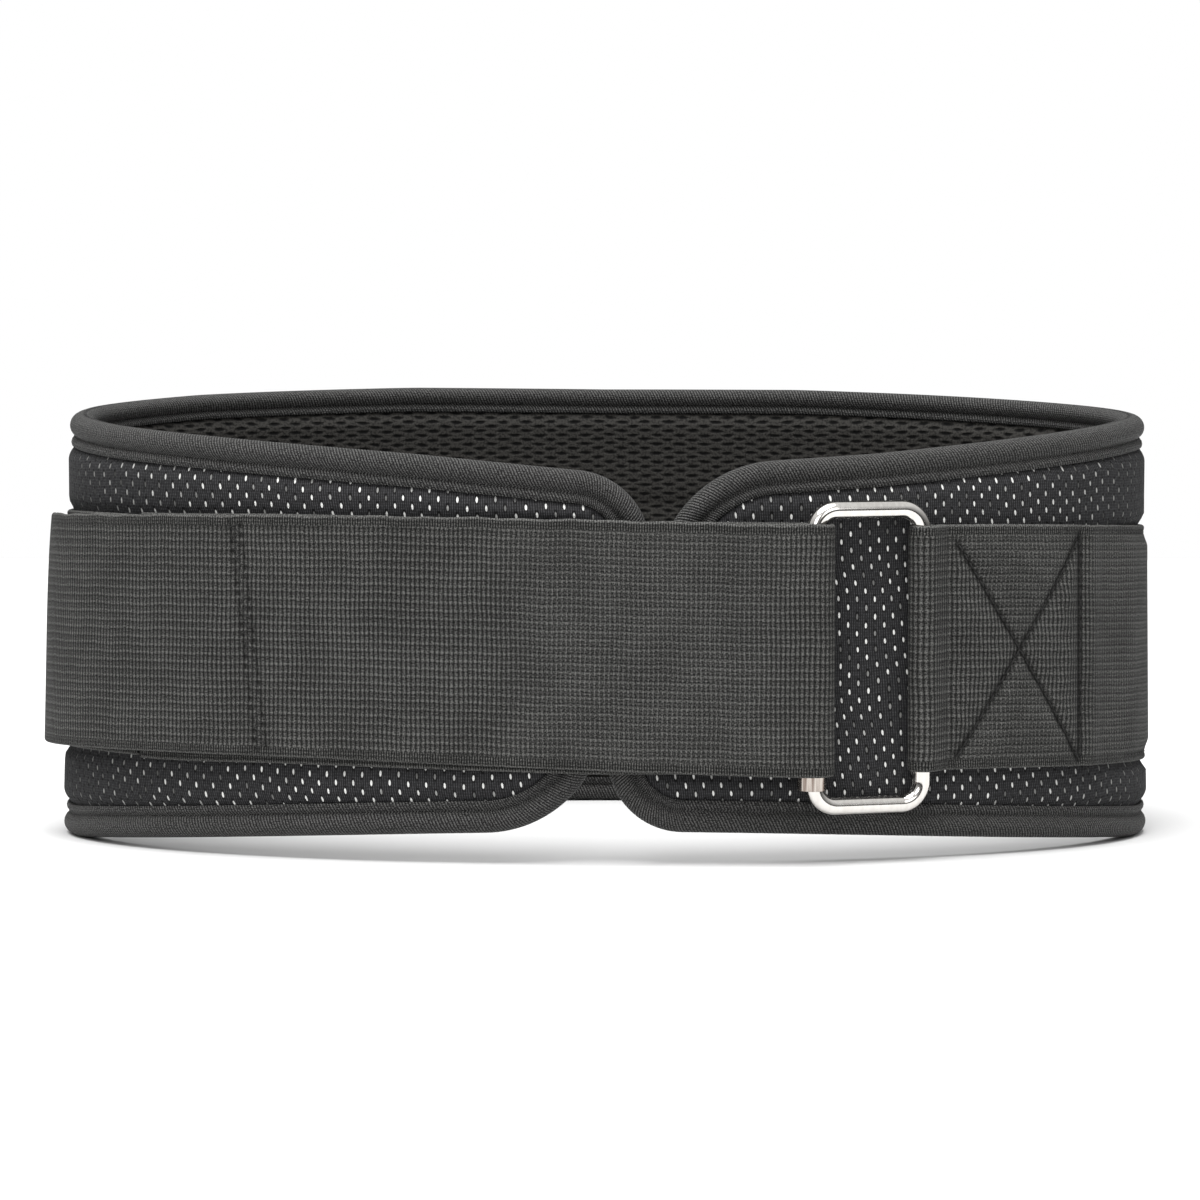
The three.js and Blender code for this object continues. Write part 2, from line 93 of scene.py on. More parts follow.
def bell(distance, width):
    # exp(-(distance / width)^2)
    return np.exp(-(distance / width) ** 2)


def normalAt(along):
    # (b cos t, a sin t) made one long, with t the ellipse's angle at that run
    turn = np.interp(np.mod(along, girth), runs, turns)
    return unit(np.stack([panel["halfDepth"] * np.cos(turn), panel["halfWidth"] * np.sin(turn)], -1))


def planPoint(along, out):
    # (a cos t, b sin t) plus out times the normal
    turn = np.interp(np.mod(along, girth), runs, turns)
    spot = np.stack([panel["halfWidth"] * np.cos(turn), panel["halfDepth"] * np.sin(turn)], -1)
    return spot + normalAt(along) * np.asarray(out, float)[..., None]


def stand(spot, height, leaning=True):
    # x grows by lean (1 - z / back height) reach^2, where reach starts at a share of the half width
    x, y = spot[..., 0], spot[..., 1]
    height = np.broadcast_to(height, x.shape).astype(float)
    started = np.abs(x) / panel["halfWidth"] - panel["leanShare"]
    reach = np.clip(started / (1 - panel["leanShare"]), 0, panel["leanLimit"])
    lean = np.where(x < 0, -panel["leftLean"], panel["rightLean"])
    foot = 1 - height / panel["backHeight"]
    shift = lean * foot * reach ** 2 if leaning else 0.0
    return np.stack([x + shift + panel["centreX"], y + panel["centreY"], height], -1)


def fromFront(along):
    # Nothing past the front's middle: the left end's top reaches a little beyond it
    turn = np.where(np.asarray(along) < 0, along + girth, along)
    return np.clip(np.minimum(turn, girth - turn), 0, None)


def lowerEdge(along):
    share = fromFront(along) / (panel["restingShare"] * girth / 2)
    return panel["frontRise"] * np.clip(1 - share ** panel["riseCurve"], 0, 1)


def upperEdge(along):
    share = fromFront(along) / (panel["dropShare"] * girth / 2)
    wave = np.interp(np.mod(along, girth) / girth, panel["waveShares"], panel["waveHeights"])
    drop = panel["frontDrop"] * np.clip(1 - share, 0, 1) ** panel["dropCurve"]
    return panel["backHeight"] + wave - drop


rightEnd = panel["closureOffset"] + panel["closureGap"] / 2
leftEnd = girth + panel["closureOffset"] - panel["closureGap"] / 2
slant = np.radians(panel["endSlant"])


def cornerArc(name, inset, count):
    # Round corner between the panel's edge and its slanted end, from the edge's side to the end's side
    end, inward = (leftEnd, -1) if name.startswith("left") else (rightEnd, 1)
    edge, up = (lowerEdge, 1) if name.endswith("Bottom") else (upperEdge, -1)
    shift = inward * inset / np.cos(slant)
    x = end + shift
    for _ in range(6):
        y = float(edge(x)) + up * inset
        x = end + shift + (y - panel["endLevel"]) * np.tan(slant)
    point = np.array([x, y])
    alongEnd = up * np.array([np.sin(slant), np.cos(slant)])
    radius = max(panel["radii"][name] - inset, 0.6)
    reach = 10.0
    for _ in range(4):                                     # so that the arc starts on the edge itself
        probe = inward * reach
        alongEdge = unit(np.array([probe, float(edge(x + probe) - edge(x))]))
        half = np.arccos(alongEdge @ alongEnd) / 2
        reach = radius / np.tan(half)
    centre = point + unit(alongEdge + alongEnd) * radius / np.sin(half)
    start = point + alongEdge * radius / np.tan(half) - centre
    toPoint = point - centre
    turning = np.sign(start[0] * toPoint[1] - start[1] * toPoint[0])
    angle = turning * (np.pi - 2 * half) * np.linspace(0, 1, count)
    return np.stack([
        centre[0] + start[0] * np.cos(angle) - start[1] * np.sin(angle),
        centre[1] + start[0] * np.sin(angle) + start[1] * np.cos(angle),
    ], -1)


arcPoints, edgePoints, endPoints = 26, 400, 56


def lengthsOf(path):
    # Length of the line up to each of its points
    return np.concatenate([[0.0], np.cumsum(np.linalg.norm(np.diff(path, axis=0), axis=1))])


def outline(inset):
    # Closed loop in (along, height): lower half, left end, upper half, right end
    def half(right, left, edge, up):
        first = cornerArc(right, inset, arcPoints)[::-1]
        last = cornerArc(left, inset, arcPoints)
        run = np.linspace(first[-1, 0], last[0, 0], edgePoints + 2)[1:-1]
        return np.concatenate([first, np.stack([run, edge(run) + up * inset], -1), last])

    lower = half("rightBottom", "leftBottom", lowerEdge, 1)
    upper = half("rightTop", "leftTop", upperEdge, -1)
    share = (np.arange(1, endPoints) / endPoints)[:, None]
    leftLine = lower[-1] + (upper[-1] - lower[-1]) * share
    rightLine = upper[0] + (lower[0] - upper[0]) * share
    return np.concatenate([lower, leftLine, upper[::-1], rightLine])


def volumeOf(points, quads):
    a, b, c, d = (points[quads[:, k]] for k in range(4))
    return float(np.sum(a * np.cross(b, c)) + np.sum(a * np.cross(c, d))) / 6


def addBody(name, points, quads, uv, material, replaced=(), edgeUv=None, triangles=(),
            shares=None):
    # points, uv and edgeUv are in millimetres; shares are named values on the points
    points, uv = points.reshape(-1, 3), uv.reshape(-1, 2)
    quads, triangles = np.asarray(quads), np.asarray(triangles, int).reshape(-1, 3)
    if volumeOf(points, quads) < 0:
        quads, triangles = quads[:, ::-1], triangles[:, ::-1]
    mesh = bpy.data.meshes.new(name)
    mesh.from_pydata((points * metre).tolist(), [], quads.tolist() + triangles.tolist())
    order = np.concatenate([quads.ravel(), triangles.ravel()])
    layer = mesh.uv_layers.new(name="cloth")
    layer.data.foreach_set("uv", uv[order].astype(np.float32).ravel())
    if edgeUv is not None:
        layer = mesh.uv_layers.new(name="edges")
        layer.data.foreach_set("uv", edgeUv[order].astype(np.float32).ravel())
    for key, values in (shares or {}).items():
        carried = mesh.attributes.new(key, "FLOAT", "POINT")
        carried.data.foreach_set("value", values.astype(np.float32).ravel())
    mesh.polygons.foreach_set("use_smooth", np.ones(len(mesh.polygons), bool))
    mesh.materials.append(material)
    mesh.update()
    obj = bpy.data.objects.new(name, mesh)
    bpy.context.collection.objects.link(obj)
    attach(obj, "root")
    if replaced:
        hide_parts(*replaced)
    return obj


def gridQuads(rows, columns, closedColumns=False, closedRows=False):
    # Quads of a grid of rows x columns points that are numbered row by row
    r = np.arange(rows if closedRows else rows - 1)[:, None]
    c = np.arange(columns if closedColumns else columns - 1)[None, :]
    r1, c1 = (r + 1) % rows, (c + 1) % columns
    corners = (r * columns + c, r * columns + c1, r1 * columns + c1, r1 * columns + c)
    return np.stack(np.broadcast_arrays(*corners), -1).reshape(-1, 4)


# The patterns of the fabrics read each piece's own "cloth" map, in millimetres.


class Paint:
    # Short names for the shader nodes that these finishes need
    def __init__(self, name, roughness, sheen=0.0, metallic=0.0, gloss=0.08):
        self.material = bpy.data.materials.new(name)
        self.material.use_nodes = True
        self.tree = self.material.node_tree
        self.shader = self.tree.nodes["Principled BSDF"]
        self.shader.inputs["Roughness"].default_value = roughness
        self.shader.inputs["Metallic"].default_value = metallic
        self.shader.inputs["Sheen Weight"].default_value = sheen
        self.shader.inputs["Sheen Roughness"].default_value = 0.45
        self.shader.inputs["Specular IOR Level"].default_value = gloss

    def node(self, kind, **settings):
        made = self.tree.nodes.new(kind)
        for key, value in settings.items():
            setattr(made, key, value)
        return made

    def link(self, source, target):
        if isinstance(source, (int, float, tuple)):
            target.default_value = source
        else:
            self.tree.links.new(source, target)

    def math(self, operation, *values):
        made = self.node("ShaderNodeMath", operation=operation)
        for socket, value in zip(made.inputs, values):
            self.link(value, socket)
        return made.outputs[0]

    def times(self, *values):
        return self.math("MULTIPLY", *values)

    def scaled(self, value, factor, offset):
        # value * factor + offset
        return self.math("MULTIPLY_ADD", value, factor, offset)

    def clothMap(self, name="cloth"):
        uv = self.node("ShaderNodeUVMap", uv_map=name)
        parts = self.node("ShaderNodeSeparateXYZ")
        self.link(uv.outputs[0], parts.inputs[0])
        return uv.outputs[0], parts.outputs[0], parts.outputs[1]

    def wave(self, value, pitch, phase=0.0):
        # 0.5 + 0.5 cos(2 pi value / pitch + phase)
        turned = self.scaled(value, 2 * np.pi / pitch, phase)
        return self.scaled(self.math("COSINE", turned), 0.5, 0.5)

    def noise(self, vector, scale, detail=2.0, stretch=(1, 1, 1)):
        mapping = self.node("ShaderNodeMapping")
        mapping.inputs["Scale"].default_value = stretch
        self.link(vector, mapping.inputs["Vector"])
        made = self.node("ShaderNodeTexNoise")
        made.inputs["Scale"].default_value = scale
        made.inputs["Detail"].default_value = detail
        self.link(mapping.outputs[0], made.inputs["Vector"])
        return made.outputs[0]

    def warped(self, value, vector, *bends):
        # Moved to and fro by noise; each bend is its scale, its amount in millimetres and its detail
        for scale, amount, detail in bends:
            value = self.scaled(self.noise(vector, scale, detail), amount, value)
        return value

    def share(self, name):
        # A value that the mesh carries on its points
        return self.node("ShaderNodeAttribute", attribute_name=name).outputs["Fac"]

    def ramp(self, value, low, high, start=0.0, end=1.0):
        made = self.node("ShaderNodeMapRange", interpolation_type="SMOOTHSTEP")
        for socket, item in zip(made.inputs, (value, low, high, start, end)):
            self.link(item, socket)
        return made.outputs[0]

    def colour(self, factor, dark, light):
        # Each of the two is a fixed colour or the socket of another one
        made = self.node("ShaderNodeMix", data_type="RGBA")
        self.link(factor, made.inputs[0])
        for place, item in ((6, dark), (7, light)):
            self.link((*item, 1) if isinstance(item, tuple) else item, made.inputs[place])
        return made.outputs[2]

    def finish(self, colour, height=None, distance=0.0002, strength=1.0):
        self.link(colour, self.shader.inputs["Base Color"])
        if height is not None:
            bump = self.node("ShaderNodeBump")
            bump.inputs["Strength"].default_value = strength
            bump.inputs["Distance"].default_value = distance
            self.link(height, bump.inputs["Height"])
            self.link(bump.outputs[0], self.shader.inputs["Normal"])
        return self.material


webbingFinish = {
    "dark": (0.0038, 0.0038, 0.0036),
    "light": (0.118, 0.1177, 0.113),
    "ribPitch": 1.45,
    "rowPitch": 2.5,
    "ribBends": ((0.04, 1.6, 2.0), (1.4, 0.16, 1.0)),
    "rowBends": ((0.06, 1.0, 2.0), (1.3, 0.42, 1.0)),
    "selvedge": 3.2,
    "selvedgePitch": 0.8,
    "selvedgeRows": 1.1,
    "speckScale": 2.6,
    "speckLight": 2.3,
    "patchScale": 0.06,
    "creaseShadeStrength": 0.9,      # how much painted shade darkens the stitched creases, pits, seams and the trough beside the loop
    "roughness": 0.78,
    "depth": 0.00045,
}


def webbingMaterial():
    paint = Paint("webbing", webbingFinish["roughness"], sheen=0.02)
    vector, u, v = paint.clothMap()
    _, toTop, toBottom = paint.clothMap("edges")
    toEdge = paint.math("MINIMUM", toTop, toBottom)
    u2 = paint.warped(u, vector, *webbingFinish["ribBends"])
    v2 = paint.warped(v, vector, *webbingFinish["rowBends"])
    ribPitch, rowPitch = webbingFinish["ribPitch"], webbingFinish["rowPitch"]
    rib = paint.wave(u2, ribPitch)
    row = paint.wave(v2, rowPitch)
    twin = paint.wave(v2, rowPitch / 2, 0.9)
    chain = paint.share("rowed")
    # Knots: bright where a rib crosses a row, a fainter line along the rib between two knots
    knot = paint.times(paint.scaled(rib, 0.85, 0.15), paint.scaled(paint.times(row, row), 0.55, 0.45))
    knot = paint.times(knot, paint.scaled(twin, 0.45, 0.55))
    knot = paint.math("MAXIMUM", knot, paint.times(paint.math("POWER", row, 3.0), 0.1))
    # Chains: the rows drawn as short dashes that step up and down from rib to rib
    swing = paint.scaled(rib, 0.34, v2)
    links = paint.times(paint.wave(swing, rowPitch, 0.7), 0.35)
    links = paint.scaled(paint.wave(swing, rowPitch / 2), 0.5, links)
    dash = paint.scaled(paint.wave(u2, ribPitch / 2), 0.45, 0.2)
    dash = paint.scaled(rib, 0.35, dash)
    links = paint.scaled(paint.times(links, dash), 1.15, 0.02)
    body = paint.scaled(knot, paint.math("SUBTRACT", 1.0, chain), paint.times(links, chain))
    # Selvedge: finer and darker than the body, and lighter along the edge itself
    fine = paint.times(paint.wave(u, webbingFinish["selvedgePitch"]),
                       paint.scaled(paint.wave(v, webbingFinish["selvedgeRows"]), 0.4, 0.35))
    inBody = paint.ramp(toEdge, webbingFinish["selvedge"] - 0.5, webbingFinish["selvedge"] + 0.3)
    weave = paint.scaled(body, inBody, paint.times(fine, paint.scaled(inBody, -0.75, 0.75)))
    weave = paint.math("ADD", weave, paint.ramp(toEdge, 0.35, 0.9, 0.3, 0.0))
    speck = paint.noise(vector, webbingFinish["speckScale"], 3.0, (1.0, 0.85, 1.0))
    worn = paint.ramp(speck, 0.3, 0.7, 0.05, webbingFinish["speckLight"])
    patch = paint.ramp(paint.noise(vector, webbingFinish["patchScale"]), 0.3, 0.7, 0.86, 1.12)
    factor = paint.times(paint.times(weave, worn), patch)
    # Painted shade: darker in the stitched creases, the zigzag's pits, along the seams and beside the loop
    creaseShading = paint.scaled(paint.share("creaseShade"), -webbingFinish["creaseShadeStrength"], 1.0)
    factor = paint.times(factor, creaseShading)
    height = paint.scaled(row, 0.2, paint.times(rib, 0.4))
    colour = paint.colour(factor, webbingFinish["dark"], webbingFinish["light"])
    return paint.finish(colour, height, webbingFinish["depth"])


meshFinish = {
    "cloth": (0.011, 0.011, 0.0116),
    "thread": (0.058, 0.058, 0.0603),
    "spacer": (0.72, 0.72, 0.7),
    "pit": (0.006, 0.006, 0.006),
    "columnPitch": 5.6,
    "rowPitch": 5.1,
    "holeWidth": 0.34,       # half width of a hole
    "holeHeight": 0.82,
    "paintedShadeFrom": 6.0,          # distance from each side up to which the spacers are fully in painted shade
    "paintedShadeTo": 100.0,
    "slant": 0.085,          # of the columns of holes
    "columnBend": (0.03, 5.0, 1.0),
    "rowBend": (0.045, 3.0, 1.0),
    "knitPitch": 0.7,
    "loopPitch": 0.85,
    "roughness": 0.8,
    "depth": 0.00035,
}


def lattice(paint, u, v, width, height, halfWidth, halfHeight, offset):
    # Distance from the middle of the nearest lattice point, as a share of the hole's half sizes, and
    # the number of that lattice cell
    across = paint.scaled(u, 1 / width, offset)
    upwards = paint.scaled(v, 1 / height, offset)
    dx = paint.math("SUBTRACT", paint.math("FRACT", across), 0.5)
    dy = paint.math("SUBTRACT", paint.math("FRACT", upwards), 0.5)
    ex = paint.times(dx, width / halfWidth)
    ey = paint.times(dy, height / halfHeight)
    away = paint.math("SQRT", paint.scaled(ex, ex, paint.times(ey, ey)))
    cell = paint.node("ShaderNodeCombineXYZ")
    paint.link(paint.math("FLOOR", across), cell.inputs[0])
    paint.link(paint.math("FLOOR", upwards), cell.inputs[1])
    cell.inputs[2].default_value = offset
    return away, cell.outputs[0]


def meshMaterial():
    paint = Paint("mesh_fabric", meshFinish["roughness"], sheen=0.02)
    vector, u, v = paint.clothMap()
    u2 = paint.warped(paint.scaled(v, meshFinish["slant"], u), vector, meshFinish["columnBend"])
    v2 = paint.warped(v, vector, meshFinish["rowBend"])
    # Distance along from the nearer side, left or right
    folded = paint.math("PINGPONG", u, girth / 2)
    fromSide = paint.math("ABSOLUTE", paint.math("SUBTRACT", folded, girth / 4))
    # Painted shade: the spacers seen through the holes darken towards each side
    paintedSideShade = paint.ramp(fromSide, meshFinish["paintedShadeFrom"], meshFinish["paintedShadeTo"], 0.05, 1.0)
    holes, shades = 0.0, 0.0
    for offset in (0.0, 0.5):
        away, cell = lattice(paint, u2, v2, meshFinish["columnPitch"], meshFinish["rowPitch"],
                             meshFinish["holeWidth"], meshFinish["holeHeight"], offset)
        chance = paint.node("ShaderNodeTexWhiteNoise", noise_dimensions="3D")
        paint.link(cell, chance.inputs["Vector"])
        bright = paint.ramp(chance.outputs["Value"], 0.04, 0.55, 0.15, 1.0)
        lit = paint.times(paint.times(paint.ramp(away, 0.7, 1.25, 1.0, 0.0), bright), paintedSideShade)
        holes = paint.math("MAXIMUM", holes, paint.ramp(away, 1.2, 2.3, 0.85, 0.0))
        shades = paint.math("MAXIMUM", shades, lit)
    knit = paint.wave(u2, meshFinish["knitPitch"])
    loops = paint.wave(v2, meshFinish["loopPitch"])
    thread = paint.times(knit, paint.scaled(loops, 0.5, 0.5))
    grain = paint.noise(vector, 0.9, 3.0)
    thread = paint.times(thread, paint.ramp(grain, 0.3, 0.7, 0.4, 1.2))
    cloth = paint.colour(thread, meshFinish["cloth"], meshFinish["thread"])
    pitted = paint.colour(holes, cloth, meshFinish["pit"])
    spaced = paint.colour(shades, pitted, meshFinish["spacer"])
    height = paint.math("SUBTRACT", paint.times(thread, 0.35), holes)
    return paint.finish(spaced, height, meshFinish["depth"])


liningFinish = {
    "hole": (0.003, 0.003, 0.003),
    "thread": (0.036, 0.0345, 0.032),
    "columnPitch": 8.1,
    "rowPitch": 3.0,
    "holeWidth": 1.75,
    "holeHeight": 0.5,
    "columnBend": (0.12, 3.0, 2.0),
    "rowBend": (0.08, 1.6, 2.0),
    "roughness": 0.9,
    "depth": 0.0008,
}


def liningMaterial():
    paint = Paint("lining_mesh", liningFinish["roughness"], sheen=0.02)
    vector, u, v = paint.clothMap()
    u2 = paint.warped(u, vector, liningFinish["columnBend"])
    v2 = paint.warped(v, vector, liningFinish["rowBend"])
    holes = 0.0
    for offset in (0.0, 0.5):
        away, _ = lattice(paint, u2, v2, liningFinish["columnPitch"], liningFinish["rowPitch"],
                          liningFinish["holeWidth"], liningFinish["holeHeight"], offset)
        holes = paint.math("MAXIMUM", holes, paint.ramp(away, 0.4, 1.6, 1.0, 0.0))
    grain = paint.noise(vector, 1.3, 3.0)
    solid = paint.math("SUBTRACT", 1.0, holes)
    factor = paint.times(solid, paint.ramp(grain, 0.3, 0.72, 0.3, 1.5))
    height = paint.scaled(grain, 0.2, solid)
    colour = paint.colour(factor, liningFinish["hole"], liningFinish["thread"])
    return paint.finish(colour, height, liningFinish["depth"])


bindingFinish = {
    "dark": (0.0045, 0.0045, 0.0045),
    "light": (0.1, 0.099, 0.096),
    "twillPitch": 1.0,
    "twillSlope": 0.45,
    "crossPitch": 0.7,
    "roughness": 0.6,
    "depth": 0.00025,
}


def bindingMaterial():
    paint = Paint("binding_tape", bindingFinish["roughness"], sheen=0.04, gloss=0.13)
    vector, u, v = paint.clothMap()
    slanted = paint.scaled(v, bindingFinish["twillSlope"], u)
    rib = paint.wave(slanted, bindingFinish["twillPitch"])
    cross = paint.wave(v, bindingFinish["crossPitch"])
    grain = paint.noise(vector, 2.2, 2.0)
    factor = paint.times(rib, paint.scaled(cross, 0.5, 0.5))
    factor = paint.times(factor, paint.ramp(grain, 0.34, 0.68, 0.0, 2.5))
    height = paint.scaled(cross, 0.35, rib)
    colour = paint.colour(factor, bindingFinish["dark"], bindingFinish["light"])
    return paint.finish(colour, height, bindingFinish["depth"])


def plainMaterial(name, dark, light, roughness, sheen, scale, depth):
    paint = Paint(name, roughness, sheen=sheen)
    vector, _, _ = paint.clothMap()
    grain = paint.noise(vector, scale, 3.0)
    return paint.finish(paint.colour(grain, dark, light), grain, depth)


def metalMaterial(name, roughness, dark, light):
    paint = Paint(name, roughness, metallic=1.0, gloss=0.5)
    place = paint.node("ShaderNodeTexCoord").outputs["Object"]
    grain = paint.noise(place, 900.0, 2.0, (1, 1, 0.06))
    return paint.finish(paint.colour(paint.ramp(grain, 0.35, 0.65), dark, light))


webbing = webbingMaterial()
meshFabric = meshMaterial()
liningMesh = liningMaterial()
bindingTape = bindingMaterial()
# dark, light, roughness, sheen, scale of the grain, depth of the grain
thread = plainMaterial("sewing_thread", (0.007, 0.007, 0.007), (0.04, 0.04, 0.039), 0.6, 0.05, 2.0, 0.00005)
fuzz = plainMaterial("fastener_pile", (0.006, 0.006, 0.006), (0.03, 0.03, 0.03), 0.95, 0.3, 3.0, 0.0004)
# roughness, dark, light
brightMetal = metalMaterial("bright_metal", 0.1, (0.72, 0.695, 0.66), (0.78, 0.76, 0.725))
# The roller's dark brown is painted reflection, mixed with a plainer metal tone by a streaked grain noise
reflectionBrownMetal = metalMaterial("grain_and_brown_reflection_metal", 0.2, (0.2, 0.15, 0.125), (0.58, 0.53, 0.48))
print("materials made")

strap = {
    "width": 74.8,
    "thickness": 1.8,
    "height": 65.4,          # of its middle above the floor
    "sewnDrop": 0.5,         # how far the sewn webbing sits lower
    "sideDip": 5.4,          # how far it dips further at the right side
    "backLift": 1.2,
    "leftLift": 1.4,         # of the sewn webbing behind the tail
    "sewnMargin": 3.2,
    "sewnRow": 2.4,          # distance of its rows of stitches from its edges
    "sewnSlope": 2.3,
    "sewnBulge": 1.0,
    "sewnSink": 2.1,         # how deep its stitching pulls it into the panel
    "pullSink": 0.7,
    "baseOut": 5.2,
    "secondOut": 7.3,
    "overLoopOut": 8.7,
    "overHookOut": 10.1,
    "jointAlong": 0.72 * leftSide,
    "edgeRound": 1.1,
}
buckle = {
    "along": 59.8,
    "span": 34.3,
    "height": 94.9,
    "centreHeight": 62.6,
    "wireRadius": 2.7,
    "cornerRadius": 6.8,
    "rollerRadius": 4.25,
    "rollerBore": 3.5,
    "rollerLength": 79.6,
    "rollerRim": 0.3,
    "rollerShift": 0.75,
    "rollerWrap": 6.0,       # radius of the webbing's middle round the roller
    "rollerSink": 0.4,       # how much nearer to the panel the axis lies
    "barWrap": 3.65,
    "loopShift": 0.45,       # of the webbing's loop to the right of the bar's axis
    "returnLength": 59.0,
    "loopRun": 8.4,
}
barAlong = buckle["along"] + buckle["span"]
returnEnd = barAlong + buckle["returnLength"]
jointAlong = strap["jointAlong"]
halfStrap = strap["width"] / 2


def sewnLevel(along):
    # height + lift - dip sin^2(pi share), share running from the ring to the back's middle
    share = np.clip((along - barAlong) / (girth / 2 - barAlong), 0, 1)
    backShare = np.clip((girth - along) / (girth / 2), 0, 1)
    lift = strap["backLift"] * np.sin(np.pi / 2 * np.minimum(share, backShare)) ** 2
    behindTail = strap["leftLift"] * smooth((along - girth + 230) / 70)
    dip = strap["sideDip"] * np.sin(np.pi * share) ** 2
    return strap["height"] - strap["sewnDrop"] + lift + behindTail - dip


def sewnLine(along, side):
    # Height of the row of stitches near the webbing's top (side 1) or bottom (side -1)
    return sewnLevel(along) + side * (halfStrap - strap["sewnRow"])


def sinkAt(along):
    # How far the webbing is sunk into the panel: not at all at the buckle and the crossed box
    deep, shallow = strap["sewnSink"], strap["pullSink"]
    places = [0, 20, barAlong - 45, returnEnd + 4, returnEnd + 36, girth - 235, girth + jointAlong, girth]
    depths = [shallow, shallow, 0, 0, deep, deep, shallow, shallow]
    return np.interp(np.mod(along, girth), places, depths)


# Shell and lining: a loft of insets, closed by a grid between the two long edges.

shellShape = {
    "innerOut": -1.7,
    "outerOut": 4.0,
    "pressedOut": 2.2,
    "pressedIn": -0.8,
    "edgeInset": 3.3,
    "lipInset": 10.0,
    "fullInset": 14.5,
    "puff": 0.15,            # between the webbing and the binding
    "ripple": 0.22,
}
liningShape = {
    "lipInset": 8.0,
    "fullInset": 12.5,
    "waistOut": -4.0,
    "backOut": -2.0,
    "pressedWaist": -2.2,
    "pressedBack": -1.1,
    "puff": 0.9,
    "ripple": 0.25,
    "groove": 1.1,
    "grooveWidth": 1.5,
}


def sheetBody(name, faces, relief, material, replaced):
    # faces: rows of (inset, out) from the waist side to the outer side; relief(along, height, side) is
    # added to the two grids that close the loft
    loops = [outline(inset) for inset, _ in faces]
    count = len(loops[0])
    flat = np.concatenate(loops)
    outs = np.repeat([out for _, out in faces], count).astype(float)
    insets = np.repeat([inset for inset, _ in faces], count).astype(float)
    facing = np.repeat([1 if k > len(faces) / 2 else -1 for k in range(len(faces))], count)
    rise = smooth(1 + (insets - insets.max()) / (shellShape["fullInset"] - shellShape["lipInset"]))
    halfCount = edgePoints + 2 * arcPoints
    quads = [gridQuads(len(faces), count, closedColumns=True)]
    total = len(flat)
    for side, row in ((-1, 0), (1, len(faces) - 1)):
        base = row * count
        lower = np.arange(halfCount)
        leftLine = halfCount + np.arange(endPoints - 1)
        upper = halfCount + endPoints - 1 + np.arange(halfCount)[::-1]
        rightLine = 2 * halfCount + endPoints - 1 + np.arange(endPoints - 1)[::-1]
        index = np.zeros((halfCount, endPoints + 1), int)
        index[:, 0] = base + lower
        index[:, -1] = base + upper
        index[-1, 1:-1] = base + leftLine
        index[0, 1:-1] = base + rightLine
        fresh = (halfCount - 2) * (endPoints - 1)
        index[1:-1, 1:-1] = total + np.arange(fresh).reshape(halfCount - 2, endPoints - 1)
        low, high = flat[index[:, 0]], flat[index[:, -1]]
        share = (np.arange(1, endPoints) / endPoints)[None, :, None]
        added = (low[1:-1, None] + (high - low)[1:-1, None] * share).reshape(-1, 2)
        flat = np.concatenate([flat, added])
        outs = np.concatenate([outs, np.full(fresh, float(faces[row][1]))])
        rise = np.concatenate([rise, np.ones(fresh)])
        facing = np.concatenate([facing, np.full(fresh, side)])
        total += fresh
        a, b, c, d = index[:-1, :-1], index[1:, :-1], index[1:, 1:], index[:-1, 1:]
        faceQuads = np.stack([a, b, c, d], -1).reshape(-1, 4)
        quads.append(faceQuads if side > 0 else faceQuads[:, ::-1])
    along, height = flat[:, 0], flat[:, 1]
    for side in (-1, 1):
        here = facing == side
        outs[here] += side * relief(along[here], height[here], side) * rise[here]
    points = stand(planPoint(along, outs), height)
    return addBody(name, points, np.concatenate(quads), flat, material, replaced)


def swell(start, end, low, high, steps):
    # Rows (inset, out) that rise like the cloth beside a seam: out = low + (high - low) sin(share)^0.9
    share = np.linspace(0, 1, steps)
    out = low + (high - low) * np.sin(np.pi / 2 * share) ** 0.9
    return list(zip(start + (end - start) * share, out))


def shellRelief(along, height, side):
    if side < 0:
        return np.zeros_like(along)
    centre = np.where(np.mod(along, girth) > barAlong, sewnLevel(np.mod(along, girth)), strap["height"])
    away = np.abs(height - centre) - halfStrap
    swing = np.sin(along / 23.0 + 0.8 * np.sin(along / 61.0))
    ripple = shellShape["ripple"] * swing * np.sin(height / 9.0)
    free = smooth((away + 0.3) / 4.0)
    return (shellShape["puff"] + ripple) * free - sinkAt(along) * (1 - free)


def liningRelief(along, height, side):
    if side > 0:
        return np.zeros_like(along)
    turn = np.mod(along, girth)
    sewn = inside(turn, returnEnd, girth + jointAlong, 12)
    top, bottom = sewnLine(turn, 1), sewnLine(turn, -1)
    near = np.minimum(np.abs(height - top), np.abs(height - bottom))
    groove = liningShape["groove"] * bell(near, liningShape["grooveWidth"])
    puff = liningShape["puff"] * (1 - 0.35 * sewn * inside(height, bottom, top, 3))
    swing = np.sin(along / 31.0 + 1.1 * np.sin(along / 47.0))
    ripple = liningShape["ripple"] * swing * np.cos(height / 17.0)
    return puff + ripple * (1 - sewn * 0.5) - groove * sewn


edge = shellShape["edgeInset"]
lip, full = shellShape["lipInset"], shellShape["fullInset"]
shellFaces = ([(full, shellShape["innerOut"]), (lip, shellShape["pressedIn"]),
               (edge, shellShape["pressedIn"]), (edge, shellShape["pressedOut"])]
              + swell(lip, full, shellShape["pressedOut"], shellShape["outerOut"], 8))
meshCover = sheetBody("mesh_cover", shellFaces, shellRelief, meshFabric, ["shell_panel"])
lip, full = liningShape["lipInset"], liningShape["fullInset"]
liningFaces = (swell(lip, full, liningShape["pressedWaist"], liningShape["waistOut"], 8)[::-1]
               + [(edge, liningShape["pressedWaist"]), (edge, liningShape["pressedBack"]),
                  (lip, liningShape["pressedBack"]), (full, liningShape["backOut"])])
waistLining = sheetBody("waist_lining", liningFaces, liningRelief, liningMesh, ["lining"])
print("cover and lining made")

# Binding: one padded tape carried round the whole outline.

